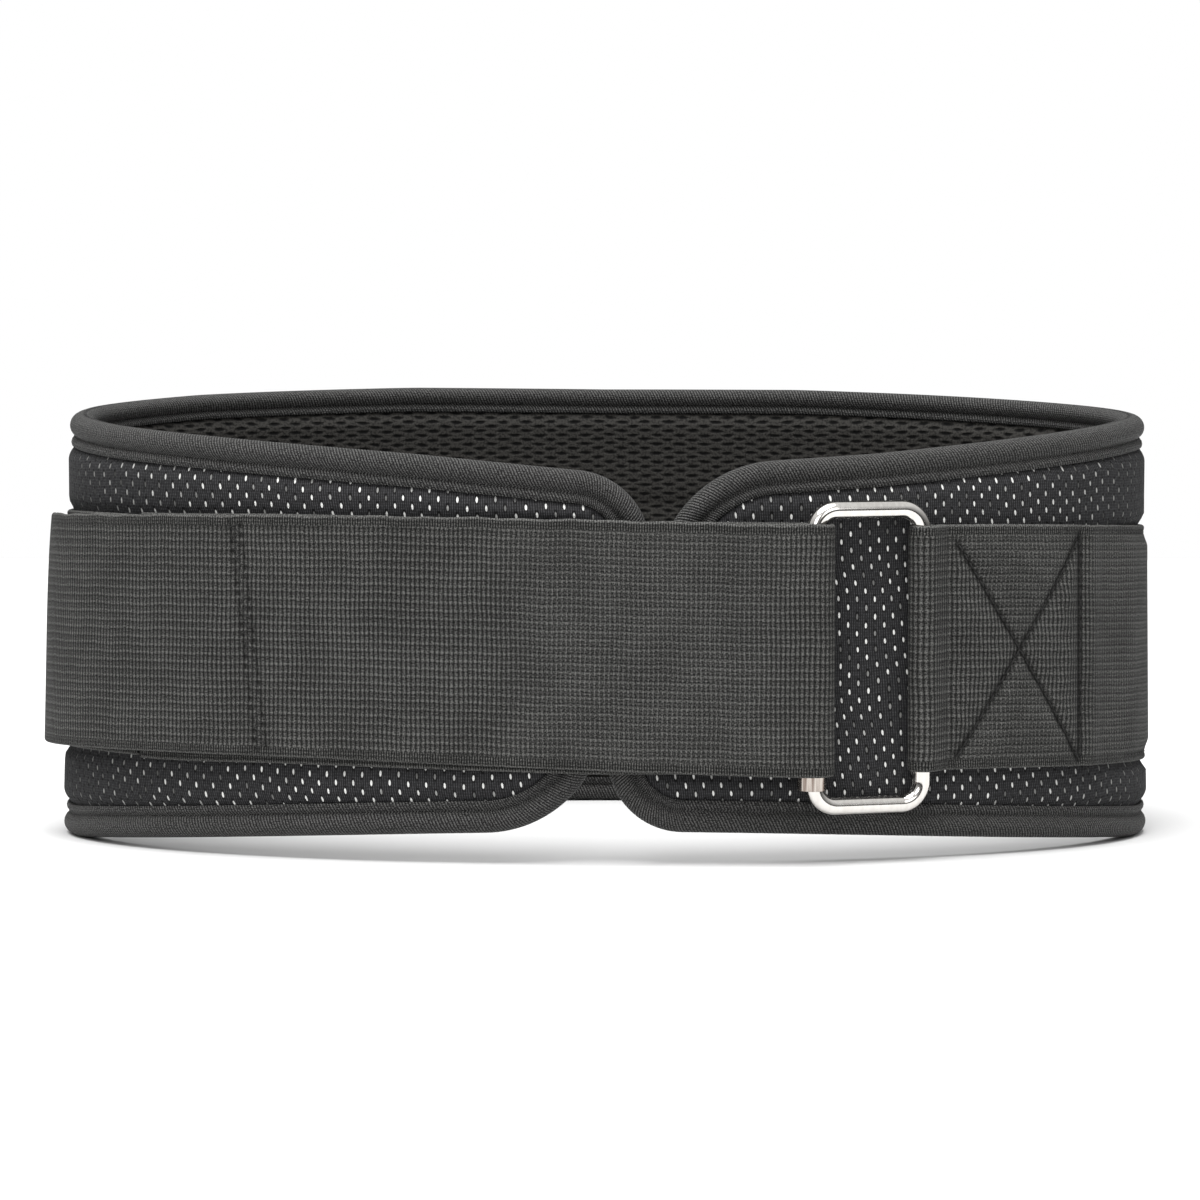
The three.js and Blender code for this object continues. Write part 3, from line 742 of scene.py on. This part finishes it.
tape = {
    "rollHeight": 7.3,
    "rollHalf": 4.15,        # half the roll's thickness
    "waistShare": 0.8,       # of the outer side's widths, on the waist side
    "neckHalf": 2.95,
    "lipHalf": 3.45,
    "channelHalf": 2.35,
    "rollSteps": 13,
    "wobble": 0.036,
    "seamInset": 9.0,
}


def bindingProfile():
    # (inset, out) of the outer half: an oval roll, a pinched neck, a flat lip that rolls in at its end
    turn = np.linspace(0, 0.86, tape["rollSteps"]) * np.pi
    bulge = tape["rollHalf"] * np.sin(turn) ** 0.85
    roll = np.stack([tape["rollHeight"] / 2 * (1 - np.cos(turn)), bulge], -1)
    roll = roll[roll[:, 1] > 0.02]
    rest = np.array([
        [7.45, tape["neckHalf"] - 0.05], [7.75, tape["neckHalf"]], [8.1, tape["lipHalf"] - 0.12],
        [8.6, tape["lipHalf"]], [9.3, tape["lipHalf"]], [9.8, tape["lipHalf"] - 0.12],
        [10.05, tape["lipHalf"] - 0.5], [10.0, tape["channelHalf"]],
        [6.0, tape["channelHalf"]], [3.0, tape["channelHalf"]],
    ])
    outer = np.concatenate([[[0.0, 0.0]], roll, rest])
    inner = outer[1:] * [tape["waistShare"], -1]
    return np.concatenate([outer, inner[::-1]])


def bindingBody():
    profile = bindingProfile()
    loops = np.stack([outline(inset) for inset in profile[:, 0]])      # profile x outline x 2
    run, across = lengthsOf(loops[0]), lengthsOf(profile)
    wobble = 1 + tape["wobble"] * np.sin(run / 17.0 + 1.7 * np.sin(run / 41.0))
    puffed = profile[:, 1][:, None] * np.where(profile[:, 0][:, None] < 7, wobble[None, :], 1.0)
    points = stand(planPoint(loops[..., 0], puffed), loops[..., 1])
    uv = np.stack(np.broadcast_arrays(run[None, :], across[:, None]), -1)
    quads = gridQuads(len(profile), len(run), closedColumns=True, closedRows=True)
    made = addBody("edge_roll", points, quads, uv, bindingTape, ["edge_binding"])
    return made


bindingBody()
print("binding made")

# Ribbons: a flat section with rounded edges carried along a path seen from above.


def pathNormals(path):
    step = unit(np.gradient(path, axis=0))
    return np.stack([step[:, 1], -step[:, 0]], -1)


def heightShares(width, count):
    # Rows across the webbing, packed closer near both edges
    even = np.linspace(0, 1, count)
    margin = np.array([0.0, 0.12, 0.35, 0.7, 1.1, 1.7, 2.4, 3.2, 4.0, 4.8, 5.6, 6.6]) / width
    middle = even[(even > margin[-1] + 0.004) & (even < 1 - margin[-1] - 0.004)]
    return np.concatenate([margin, middle, 1 - margin[::-1]])


def ribbonBody(name, path, low, high, thickness, material, replaced, front=None, tilt=None,
               rows=72, startRun=0.0, facing=1):
    # Point = path + normal * (+-half thickness * rounding + relief); rounding = sqrt(1 - (1 - d / r)^2).
    # front gives the relief and, from 0 to 1, how much painted shade each point gets in a stitched crease,
    # pit or trough and how much its weave shows rows rather than ribs. They go on the normal's side, or for
    # facing -1 behind it.
    normals = pathNormals(path)
    width = float(np.max(high - low))
    shares = heightShares(width, rows)
    run = startRun + lengthsOf(path)
    height = low[:, None] + (high - low)[:, None] * shares[None, :]
    toEdge = np.minimum(height - low[:, None], high[:, None] - height)
    bare = 1 - np.clip(toEdge / strap["edgeRound"], 0, 1)
    face = thickness / 2 * np.sqrt(np.clip(1 - bare ** 2, 0, 1))
    relief, creaseShade, rowed = front(run, height) if front else (0.0, 0.0, 0.0)
    worked = face + relief
    frontOut, backOut = (worked, -face) if facing > 0 else (face, -worked)
    frontOut[:, [0, -1]] = 0
    heights = np.concatenate([height, height[:, -2:0:-1]], 1)
    outs = np.concatenate([frontOut, backOut[:, -2:0:-1]], 1)
    if tilt is not None:
        outs = outs + tilt(run, heights)
    spot = path[:, None] + normals[:, None] * outs[..., None]
    points = stand(spot, heights)
    count = outs.shape[1]
    quads = [gridQuads(len(path), count, closedColumns=True)]
    middle = len(shares)
    frontRow = np.arange(0, middle - 1)
    backRow = (count - frontRow) % count
    nextBack = count - 1 - frontRow
    triangles = []
    for base, turn in ((0, -1), ((len(path) - 1) * count, 1)):
        cap = base + np.stack([frontRow, frontRow + 1, nextBack, backRow], -1)
        quads.append(cap[1:-1, ::turn])
        triangles += [cap[0, :3][::turn], cap[-1, [0, 1, 3]][::turn]]
    uv = np.stack(np.broadcast_arrays(run[:, None], heights - (low + high)[:, None] / 2), -1)
    edgeUv = np.stack([high[:, None] - heights, heights - low[:, None]], -1).reshape(-1, 2)
    named = {}
    for key, values in (("creaseShade", creaseShade), ("rowed", rowed)):
        values = np.broadcast_to(values, height.shape)
        blank = np.zeros_like(values)
        near, far = (values, blank) if facing > 0 else (blank, values)
        named[key] = np.concatenate([near, far[:, -2:0:-1]], 1)
    return addBody(name, points, np.concatenate(quads), uv, material, replaced, edgeUv, triangles,
                   named)


def arc(centre, radius, startDirection, endDirection, clockwise, count):
    start = np.arctan2(startDirection[1], startDirection[0])
    end = np.arctan2(endDirection[1], endDirection[0])
    sweep = np.mod(start - end, 2 * np.pi) if clockwise else -np.mod(end - start, 2 * np.pi)
    angle = start - sweep * np.linspace(0, 1, count)
    return centre + radius * np.stack([np.cos(angle), np.sin(angle)], -1)


rollerNormal = normalAt(buckle["along"])
rollerAxis = (planPoint(buckle["along"], strap["baseOut"])
              + rollerNormal * (buckle["rollerWrap"] - buckle["rollerSink"]))
barNormal = normalAt(barAlong)
barAxis = planPoint(barAlong, strap["baseOut"]) + barNormal * buckle["barWrap"]

pull = {
    "tailLift": 3.2,         # how far the tail sits higher halfway along
    "liftCurve": 1.25,
    "standingDrop": 1.1,     # how far the standing part sits below the tail
    "tailPastSide": 6.0,
    "tailRadius": 2.6,
    "hookFront": 92.0,
    "loopFront": 116.0,
    "ramp": 12.0,
    "tailTilt": 1.3,         # how far the tail's end leans in at its top
    "tailBow": 0.3,          # how far it stands out below
    "rollerWidth": 1.02,     # width at the roller and at the tail's end, as shares
    "endWidth": 0.975,
    "rowsFrom": 236.0,       # run between which the rows show more than the ribs
    "rowsTo": 336.0,
    "zigzagTop": -113.2,     # along, of the double row of stitches that holds the hook pad
    "zigzagFoot": -104.2,
    "zigzagHalf": 1.75,
    "zigzagPitch": 3.2,
    "pitDepth": 0.5,
    "pitWidth": 0.85,
    # painted shade in the zigzag's pits
    "pitShade": 0.85,
    "rowedShare": 0.55,
    "fray": 0.12,
    "ripple": 0.1,
}
tailFrom = leftSide - pull["tailPastSide"]


def tailShare(along):
    return np.clip((buckle["along"] - along) / (buckle["along"] - tailFrom), 0, 1)


def tailLevel(along):
    # height + lift sin(pi share^curve), share running from the roller to the tail's end
    lift = pull["tailLift"] * np.sin(np.pi * tailShare(along) ** pull["liftCurve"])
    return strap["height"] - 0.1 + lift


def tailOut(along):
    # Distance out of the tail: flat on the webbing, a step up on each pad
    loopFront = tailFrom + pull["loopFront"]
    hookFront = tailFrom + pull["hookFront"]
    onLoop = smooth((loopFront + pull["ramp"] - along) / pull["ramp"])
    onHook = smooth((hookFront + pull["ramp"] - along) / pull["ramp"])
    sunk = strap["pullSink"] * smooth((20 - along) / 30)
    return (strap["secondOut"] + (strap["overLoopOut"] - strap["secondOut"]) * onLoop
            + (strap["overHookOut"] - strap["overLoopOut"]) * onHook - sunk)


def touchDown():
    # Where the tangent of the webbing's line passes the roller at the wrap's radius
    tries = np.linspace(-70, 40, 2201)
    level = np.sum((rollerAxis - planPoint(tries, tailOut(tries))) * normalAt(tries), -1)
    return float(np.interp(0.0, level + buckle["rollerWrap"], tries))


def zigzagAlong(offset):
    # Place of the zigzag's middle line, offset being the height above the tail's middle
    top, foot = pull["zigzagTop"], pull["zigzagFoot"]
    return (top + foot) / 2 - offset * (foot - top) / strap["width"]


def pullWebbing():
    standingAlongs = np.arange(jointAlong + 0.3, buckle["along"] - 1, 2.0)
    standing = planPoint(standingAlongs, strap["baseOut"] - sinkAt(standingAlongs))
    touch = touchDown()
    wrap = arc(rollerAxis, buckle["rollerWrap"], -rollerNormal, normalAt(touch), True, 26)
    landing = planPoint(touch, tailOut(touch))
    flightShare = np.linspace(0, 1, 44)[1:]
    flight = wrap[-1] + (landing - wrap[-1]) * flightShare[:, None]
    alongs = np.concatenate([
        np.arange(touch - 1.6, pull["zigzagFoot"] + 6, -1.6),
        np.arange(pull["zigzagFoot"] + 5, pull["zigzagTop"] - 6, -0.5),
        np.arange(pull["zigzagTop"] - 7, tailFrom + 14, -1.6),
        tailFrom + 14 * (1 - np.sin(np.linspace(0, np.pi / 2, 26))),
    ])
    path = np.concatenate([standing, wrap, flight, planPoint(alongs, tailOut(alongs))])
    known = np.concatenate([standingAlongs, np.full(len(wrap), buckle["along"]),
                            buckle["along"] + (touch - buckle["along"]) * flightShare, alongs])
    run = lengthsOf(path)
    endRun = run[-1]
    onTail = smooth((run - run[len(standing)] + 4) / 24)
    seam = smooth((known - jointAlong) / 50)
    drop = pull["standingDrop"] * smooth((45 - known) / 60)
    standingLevel = (tailLevel(known) - drop) * seam + sewnLevel(girth + jointAlong) * (1 - seam)
    middle = tailLevel(known) * onTail + standingLevel * (1 - onTail)
    share = tailShare(known) * onTail
    narrowing = (pull["endWidth"] - pull["rollerWidth"]) * smooth(share / 0.85)
    half = halfStrap * (pull["rollerWidth"] + narrowing)
    corner = np.clip(pull["tailRadius"] - (endRun - run), 0, pull["tailRadius"])
    trim = pull["tailRadius"] - np.sqrt(np.clip(pull["tailRadius"] ** 2 - corner ** 2, 0, None))
    fray = pull["fray"] * (7 / 6 * np.sin(run / 2.3) + np.sin(run / 5.3 + 1.0))
    low, high = middle - half + trim, middle + half - trim + fray * onTail * smooth((endRun - run) / 12)

    def frontRelief(run, height):
        offset = height - middle[:, None]
        away = known[:, None] - zigzagAlong(offset)
        pits = 0.0
        for side in (-1, 1):
            pit = 0.5 + 0.5 * np.cos(2 * np.pi * offset / pull["zigzagPitch"] + (side + 1) * np.pi / 2)
            near = bell(away - side * pull["zigzagHalf"], pull["pitWidth"])
            pits = pits + near * (0.15 + 0.85 * pit)
        pits = pits * smooth((halfStrap - 1.5 - np.abs(offset)) / 1.5) * onTail[:, None]
        ripple = pull["ripple"] * np.sin(run / 11.0)[:, None] * np.sin(height / 13.0 + 0.5)
        rowed = inside(run, pull["rowsFrom"], pull["rowsTo"], 24)
        relief = ripple * smooth(share / 0.4)[:, None] * onTail[:, None] - pull["pitDepth"] * pits
        # The second value is painted shade in the zigzag's pits
        return relief, np.clip(pull["pitShade"] * pits, 0, 1), pull["rowedShare"] * rowed[:, None]

    def tailTilt(run, heights):
        rising = (heights - low[:, None]) / (high - low)[:, None]
        bend = pull["tailTilt"] * rising ** 4 - pull["tailBow"]
        return bend * smooth((60 - endRun + run) / 45)[:, None] * onTail[:, None]

    return ribbonBody("pull_webbing", path, low, high, strap["thickness"], webbing,
                      ["pull_strap"], front=frontRelief, tilt=tailTilt, rows=104, facing=-1)


pullWebbing()
print("pull strap made")

box = {
    "firstLine": 101.6,      # along, of the row of stitches beside the loop
    "left": 106.2,
    "right": 149.8,
    "lastLine": 150.3,
    "leftReach": 32.4,       # half the cross's height at each end
    "rightReach": 34.6,
    "drop": 0.9,             # of its middle below the webbing's middle
    "grooveDepth": 1.5,
    "grooveWidth": 2.4,
    "creaseShadeWidth": 0.9,
    "quilt": 0.7,            # how far the cloth swells between the lines
    "pucker": 0.3,
    "seamDepth": 0.35,       # of the long rows of stitches past the box
    "seamWidth": 0.7,
    "troughShade": 0.45,     # painted shade beside the loop
}


def segmentDistance(u, v, start, end):
    # Distance from the segment start-end in the webbing's own plane
    direction = np.subtract(end, start)
    du, dv = u - start[0], v - start[1]
    share = np.clip((du * direction[0] + dv * direction[1]) / (direction @ direction), 0, 1)
    return np.hypot(du - share * direction[0], dv - share * direction[1])


def boxLines():
    left, right, low, tall = box["left"], box["right"], box["leftReach"], box["rightReach"]
    drop = box["drop"]
    return [
        ((left, low - drop), (right, -tall - drop)),
        ((left, -low - drop), (right, tall - drop)),
        ((box["firstLine"], tall), (box["firstLine"], -tall)),
        ((box["lastLine"], tall), (box["lastLine"], -tall)),
    ]


def ringWebbing():
    backAlongs = np.arange(returnEnd, barAlong + 1, -2.0)
    back = planPoint(backAlongs, strap["baseOut"])
    landing = planPoint(barAlong + buckle["loopRun"], strap["secondOut"])
    loopAxis = barAxis + buckle["loopShift"] * np.array([-barNormal[1], barNormal[0]])
    toLanding = landing - loopAxis
    distance = np.linalg.norm(toLanding)
    leave = np.arctan2(toLanding[1], toLanding[0]) - np.arccos(buckle["barWrap"] / distance)
    leaveDirection = np.array([np.cos(leave), np.sin(leave)])
    wrap = arc(loopAxis, buckle["barWrap"], -barNormal, leaveDirection, False, 24)
    flight = wrap[-1] + (landing - wrap[-1]) * np.linspace(0, 1, 12)[1:, None]
    boxAlongs = np.arange(barAlong + buckle["loopRun"] + 0.7, returnEnd + 16, 0.75)
    restAlongs = np.arange(returnEnd + 16, girth + jointAlong - 0.3, 2.4)
    alongs = np.concatenate([boxAlongs, restAlongs])
    drop = smooth((alongs - returnEnd - 1) / 9)
    outs = strap["secondOut"] + (strap["baseOut"] - strap["secondOut"]) * drop - sinkAt(alongs)
    outer = planPoint(alongs, outs)
    path = np.concatenate([back, wrap, flight, outer])
    lead = len(back) + len(wrap) + len(flight)
    onFlight = np.linspace(barAlong, barAlong + buckle["loopRun"], 12)[1:]
    known = np.concatenate([backAlongs, np.full(len(wrap), barAlong), onFlight, alongs])
    middle = sewnLevel(known)
    run = lengthsOf(path)
    startRun = -(run[lead] - alongs[0])                    # so that the run reads as "along" on the box

    def front(_, height):
        outerSide = (np.arange(len(known)) >= lead)[:, None]
        u = known[:, None] + 0 * height
        v = height - middle[:, None]
        toEdge = halfStrap - np.abs(v)
        depth, creaseShade = np.zeros_like(u), np.zeros_like(u)
        for start, end in boxLines():
            near = segmentDistance(u, v, start, end)
            depth = np.maximum(depth, box["grooveDepth"] * np.exp(-near / box["grooveWidth"]))
            creaseShade = np.maximum(creaseShade, bell(near, box["creaseShadeWidth"]))
        inBox = inside(u, box["firstLine"], box["lastLine"], 6) * smooth((toEdge - 3) / 8)
        pucker = box["pucker"] * inBox * np.sin(u * 0.62 + v * 0.2) * np.sin(v * 0.5 - u * 0.15)
        bulgeIn = smooth((toEdge - strap["sewnMargin"]) / (strap["sewnSlope"] * 1.6))
        sewnPart = inside(known, returnEnd + 14, girth + jointAlong + 60, 14)[:, None]
        bulge = strap["sewnBulge"] * bulgeIn * sewnPart
        seam = box["seamDepth"] * bell(toEdge - strap["sewnRow"], box["seamWidth"]) * sewnPart
        quilt = box["quilt"] * inBox
        ripple = 0.08 * np.sin(known / 7.0)[:, None] * np.sin(v / 9.0)
        relief = quilt + pucker + bulge - depth - seam + ripple * inBox
        # Painted shade along the cross's lines, along the seams and beside the loop; rows show in the
        # cross's upper and lower parts and past it
        trough = box["troughShade"] * bell(u - box["firstLine"] + 1.4, 1.5)
        paintedShade = creaseShade + 0.8 * seam + trough
        centre, halfLong = (box["left"] + box["right"]) / 2, (box["right"] - box["left"]) / 2
        upright = np.abs(v + box["drop"]) / box["leftReach"] - np.abs(u - centre) / halfLong
        inParts = 0.75 * smooth(upright / 0.25 + 0.5) * (inBox > 0)
        rowed = np.maximum(inParts, 0.7 * smooth((u - box["lastLine"] - 2) / 6))
        return np.where(outerSide, relief, 0.0), np.where(outerSide, np.clip(paintedShade, 0, 1), 0.0), rowed

    return ribbonBody("ring_webbing", path, middle - halfStrap, middle + halfStrap, strap["thickness"],
                      webbing, ["ring_strap"], front=front, rows=84, startRun=startRun)


ringWebbing()
print("ring strap made")

pads = {
    "width": 70.0,
    "thickness": 1.1,
    "loopOut": 6.95,
    "hookOut": 8.35,
    "loopStart": 16.0,
    "loopEnd": 112.0,
    "hookStart": 14.0,
    "hookEnd": 92.0,
}


def padBody(kind, drop):
    # kind is "loop", on the standing part, or "hook", behind the tail
    alongs = np.arange(tailFrom + pads[kind + "Start"], tailFrom + pads[kind + "End"], 2.0)
    path = planPoint(alongs, pads[kind + "Out"] - strap["pullSink"])
    middle = tailLevel(alongs) - drop
    half = pads["width"] / 2
    ribbonBody(kind + "_pile", path, middle - half, middle + half, pads["thickness"], fuzz,
               [kind + "_pad"], rows=30)


padBody("loop", pull["standingDrop"])
padBody("hook", 0.0)
print("pads made")


def ringBody():
    # Round wire carried along a rounded rectangle: corner points turn about the four corner centres
    toRight = unit(barAxis - rollerAxis)
    leftAxis = rollerAxis + toRight * buckle["rollerShift"]
    middle = (leftAxis + barAxis) / 2
    halfSpan = np.linalg.norm(barAxis - leftAxis) / 2
    halfTall = buckle["height"] / 2 - buckle["wireRadius"]
    radius = buckle["cornerRadius"]
    turn = np.linspace(0, np.pi / 2, 18)
    corners = []
    for quarter, (sx, sy) in enumerate(((1, 1), (-1, 1), (-1, -1), (1, -1))):
        angle = turn + quarter * np.pi / 2
        corners.append(np.stack([sx * (halfSpan - radius) + radius * np.cos(angle),
                                 sy * (halfTall - radius) + radius * np.sin(angle)], -1))
    line = np.concatenate(corners)
    outward = np.concatenate([np.stack([np.cos(turn + q * np.pi / 2), np.sin(turn + q * np.pi / 2)], -1)
                              for q in range(4)])
    sides = np.linspace(0, 2 * np.pi, 48, endpoint=False)
    wire = buckle["wireRadius"]
    flat = line[:, None] + outward[:, None] * (wire * np.cos(sides))[None, :, None]
    front = np.array([toRight[1], -toRight[0]])
    spot = (middle + toRight * flat[..., :1] + front * (wire * np.sin(sides))[None, :, None])
    points = stand(spot, buckle["centreHeight"] + flat[..., 1], leaning=False)
    quads = gridQuads(len(line), len(sides), closedColumns=True, closedRows=True)
    uv = np.stack(np.broadcast_arrays(np.arange(len(line))[:, None] * 1.0, sides[None, :]), -1)
    return addBody("bright_ring", points, quads, uv, brightMetal, ["ring"])


def rollerBody():
    # Sleeve turned about its axis, with a small round on each rim
    half, rim = buckle["rollerLength"] / 2, buckle["rollerRim"]
    outer, bore = buckle["rollerRadius"], buckle["rollerBore"]
    quarter = np.linspace(0, np.pi / 2, 5)
    profile = np.concatenate([
        [[bore, -half + 0.1], [bore + 0.1, -half]],
        np.stack([outer - rim + rim * np.sin(quarter), -half + rim - rim * np.cos(quarter)], -1),
        np.stack([outer - rim + rim * np.cos(quarter), half - rim + rim * np.sin(quarter)], -1),
        [[bore + 0.1, half], [bore, half - 0.1]],
    ])
    sides = np.linspace(0, 2 * np.pi, 56, endpoint=False)
    ring = np.stack([np.cos(sides), np.sin(sides)], -1)
    spot = rollerAxis + profile[:, None, :1] * ring[None]
    points = stand(spot, buckle["centreHeight"] + profile[:, 1:], leaning=False)
    quads = gridQuads(len(profile), len(sides), closedColumns=True, closedRows=True)
    uv = np.stack(np.broadcast_arrays(profile[:, 1][:, None], sides[None, :]), -1)
    return addBody("bright_roller", points, quads, uv, reflectionBrownMetal, ["roller"])


ringBody()
rollerBody()
print("ring and roller made")

# Stitches: short spindles of thread set along a line, all of one seam in one mesh.
stitch = {
    "sides": 4,
    "profile": [(0.0, 0.0), (0.12, 0.75), (0.5, 1.0), (0.88, 0.75), (1.0, 0.0)],
    # pitch, length and radius
    "binding": (3.6, 2.5, 0.22),
    "webbing": (3.3, 2.4, 0.26),
    "zigzagShare": 0.86,     # of the way from one turn to the next
    "zigzagRadius": 0.2,
}


def alongLine(places, run, values):
    # The values of a line at some places of its run
    return np.stack([np.interp(places, run, values[:, k]) for k in range(3)], -1)


def stitches(name, lines, outwards, pitch, length, radius, slotName, sink=0.3):
    # lines and outwards: the points of each seam and their unit normals. Each stitch is a spindle whose
    # radius is the profile's share of the full one.
    allPoints, allQuads, offset = [], [], 0
    for points, normals in zip(lines, outwards):
        run = lengthsOf(points)
        starts = np.arange(0.3, run[-1] - length, pitch)
        first, last = alongLine(starts, run, points), alongLine(starts + length, run, points)
        up = alongLine(starts + length / 2, run, normals)
        direction = unit(last - first)
        side = unit(np.cross(direction, up))
        up = np.cross(side, direction)
        table = np.array(stitch["profile"])
        angle = np.linspace(0, 2 * np.pi, stitch["sides"], endpoint=False)
        width = np.maximum(table[:, 1], 0.05) * radius
        body = (first[:, None, None] + (last - first)[:, None, None] * table[None, :, None, :1]
                + side[:, None, None] * (width[:, None] * np.cos(angle))[None, ..., None]
                + up[:, None, None] * (width[:, None] * np.sin(angle) - sink * radius)[None, ..., None])
        rows, columns = len(table), stitch["sides"]
        ends = np.array([[3, 2, 1, 0], [0, 1, 2, 3]]) + np.array([[0], [(rows - 1) * columns]])
        quads = np.concatenate([gridQuads(rows, columns, closedColumns=True), ends])
        count = rows * columns
        firsts = offset + np.arange(len(starts)) * count
        allQuads.append((quads[None] + firsts[:, None, None]).reshape(-1, 4))
        allPoints.append(body.reshape(-1, 3))
        offset += len(starts) * count
    points, quads = np.concatenate(allPoints), np.concatenate(allQuads)
    return addBody(name, points, quads, points[:, :2], thread)


def onPanel(along, out, height):
    normal = normalAt(along)
    up = np.concatenate([normal, np.zeros((len(normal), 1))], 1)
    return stand(planPoint(along, out), height), up


def bindingSeams():
    rows, ups = [], []
    for side, inset in ((1, tape["seamInset"]), (-1, tape["seamInset"] * tape["waistShare"])):
        loop = outline(inset)
        loop = np.concatenate([loop, loop[:1]])
        place, up = onPanel(loop[:, 0], np.full(len(loop), side * tape["lipHalf"]), loop[:, 1])
        rows.append(place)
        ups.append(side * up)
    return stitches("binding_stitches", rows, ups, *stitch["binding"], "binding_tape")


def sewnRows():
    rows, ups = [], []
    along = np.arange(returnEnd + 16, girth + jointAlong + 40, 1.5)
    outerOut = strap["baseOut"] + strap["thickness"] / 2 - 0.2 - sinkAt(along)
    waistOut = liningShape["waistOut"] - liningShape["puff"] + liningShape["groove"] * 0.9
    for height in (sewnLine(along, 1), sewnLine(along, -1)):
        for facing, out in ((1, outerOut), (-1, np.full(len(along), waistOut))):
            place, up = onPanel(along, out, height)
            rows.append(place)
            ups.append(facing * up)
    out = strap["secondOut"] + strap["thickness"] / 2 - 0.25
    for start, end in boxLines():
        share = np.linspace(0, 1, 90)
        along = start[0] + (end[0] - start[0]) * share
        offset = start[1] + (end[1] - start[1]) * share
        place, up = onPanel(along, np.full(90, out), sewnLevel(along) + offset)
        rows.append(place)
        ups.append(up)
    return stitches("webbing_stitches", rows, ups, *stitch["webbing"], "webbing")


def zigzagSeam():
    # Turns of the thread between the two lines of pits, one turn each half pitch
    offset = np.arange(-halfStrap + 3, halfStrap - 2, pull["zigzagPitch"] / 2)
    side = np.where(np.arange(len(offset)) % 2 == 0, -1, 1) * pull["zigzagHalf"]
    along = zigzagAlong(offset) + side
    out = tailOut(along) + strap["thickness"] / 2
    place, up = onPanel(along, out, tailLevel(along) + offset)
    step = float(np.linalg.norm(place[1] - place[0]))
    return stitches("zigzag_stitches", [place], [up], step, step * stitch["zigzagShare"],
                    stitch["zigzagRadius"], "webbing", sink=0.0)


bindingSeams()
sewnRows()
zigzagSeam()
print("stitches made")

studio = {
    "floorColour": (0.64, 0.64, 0.64, 1),
    "floorReach": 1.5,       # metres
    "floorFront": 0.85,
    "horizon": 0.03,
    "zenith": 0.8,
    "key": 4.6,              # of the broad overhead light, even over the whole floor
    "keyAngle": 50.0,        # degrees
    "keyTurn": (14, -6),     # degrees about x and y
    "front": 11.8,
    "side": 3.6,
    "target": (0, 0, 0.07),
    "camera": (0.0003, -1.618, 0.181),
    "cameraDip": 3.78,       # degrees below the horizon
    "focal": 152.1,          # for a sensor of 36 mm
}


def makeFloor():
    reach, front = studio["floorReach"], studio["floorFront"]
    mesh = bpy.data.meshes.new("floor")
    corners = [(-reach, -front, 0), (reach, -front, 0), (reach, reach, 0), (-reach, reach, 0)]
    mesh.from_pydata(corners, [], [(0, 1, 2, 3)])
    floor = bpy.data.objects.new("floor", mesh)
    bpy.context.collection.objects.link(floor)
    material = bpy.data.materials.new("floor_paint")
    material.use_nodes = True
    shader = material.node_tree.nodes["Principled BSDF"]
    shader.inputs["Base Color"].default_value = studio["floorColour"]
    shader.inputs["Roughness"].default_value = 0.9
    shader.inputs["Specular IOR Level"].default_value = 0.1
    mesh.materials.append(material)


def softbox(name, place, width, height, power):
    light = bpy.data.lights.new(name, "AREA")
    light.shape = "RECTANGLE"
    light.size, light.size_y = width, height
    light.energy = power
    lamp = bpy.data.objects.new(name, light)
    lamp.location = place
    lamp.rotation_euler = (Vector(studio["target"]) - Vector(place)).to_track_quat("-Z", "Y").to_euler()
    bpy.context.collection.objects.link(lamp)


def makeLights():
    world = bpy.data.worlds.new("studio")
    bpy.context.scene.world = world
    world.use_nodes = True
    nodes, links = world.node_tree.nodes, world.node_tree.links
    background = nodes["Background"]
    background.inputs["Color"].default_value = (1, 1, 1, 1)
    direction = nodes.new("ShaderNodeTexCoord").outputs["Generated"]
    parts = nodes.new("ShaderNodeSeparateXYZ")
    links.new(direction, parts.inputs[0])
    rising = nodes.new("ShaderNodeMapRange")               # dim at the horizon, bright overhead
    rising.inputs["From Min"].default_value = 0.0
    rising.inputs["From Max"].default_value = 0.7
    rising.inputs["To Min"].default_value = studio["horizon"]
    rising.inputs["To Max"].default_value = studio["zenith"]
    links.new(parts.outputs[2], rising.inputs["Value"])
    seen = nodes.new("ShaderNodeMix")                      # the plain backdrop itself is white
    links.new(nodes.new("ShaderNodeLightPath").outputs["Is Camera Ray"], seen.inputs[0])
    links.new(rising.outputs[0], seen.inputs[2])
    seen.inputs[3].default_value = 1.0
    links.new(seen.outputs[0], background.inputs["Strength"])
    key = bpy.data.lights.new("overhead", "SUN")
    key.energy, key.angle = studio["key"], np.radians(studio["keyAngle"])
    lamp = bpy.data.objects.new("overhead", key)
    lamp.rotation_euler = (*np.radians(studio["keyTurn"]), 0)
    bpy.context.collection.objects.link(lamp)
    softbox("front_left", (-0.4, -1.95, 0.98), 0.9, 0.8, studio["front"])
    softbox("front_right", (0.95, -1.6, 0.88), 0.7, 0.8, studio["side"])


def makeCamera():
    data = bpy.data.cameras.new("camera")
    data.sensor_width = 36.0
    data.lens = studio["focal"]
    data.clip_start, data.clip_end = 0.05, 60.0
    camera = bpy.data.objects.new("camera", data)
    camera.location = studio["camera"]
    camera.rotation_euler = (np.radians(90 - studio["cameraDip"]), 0, 0)
    bpy.context.collection.objects.link(camera)
    bpy.context.scene.camera = camera


makeFloor()
makeLights()
makeCamera()
bpy.context.scene.view_settings.view_transform = "Standard"
bpy.context.scene.view_settings.look = "None"
print("studio made")
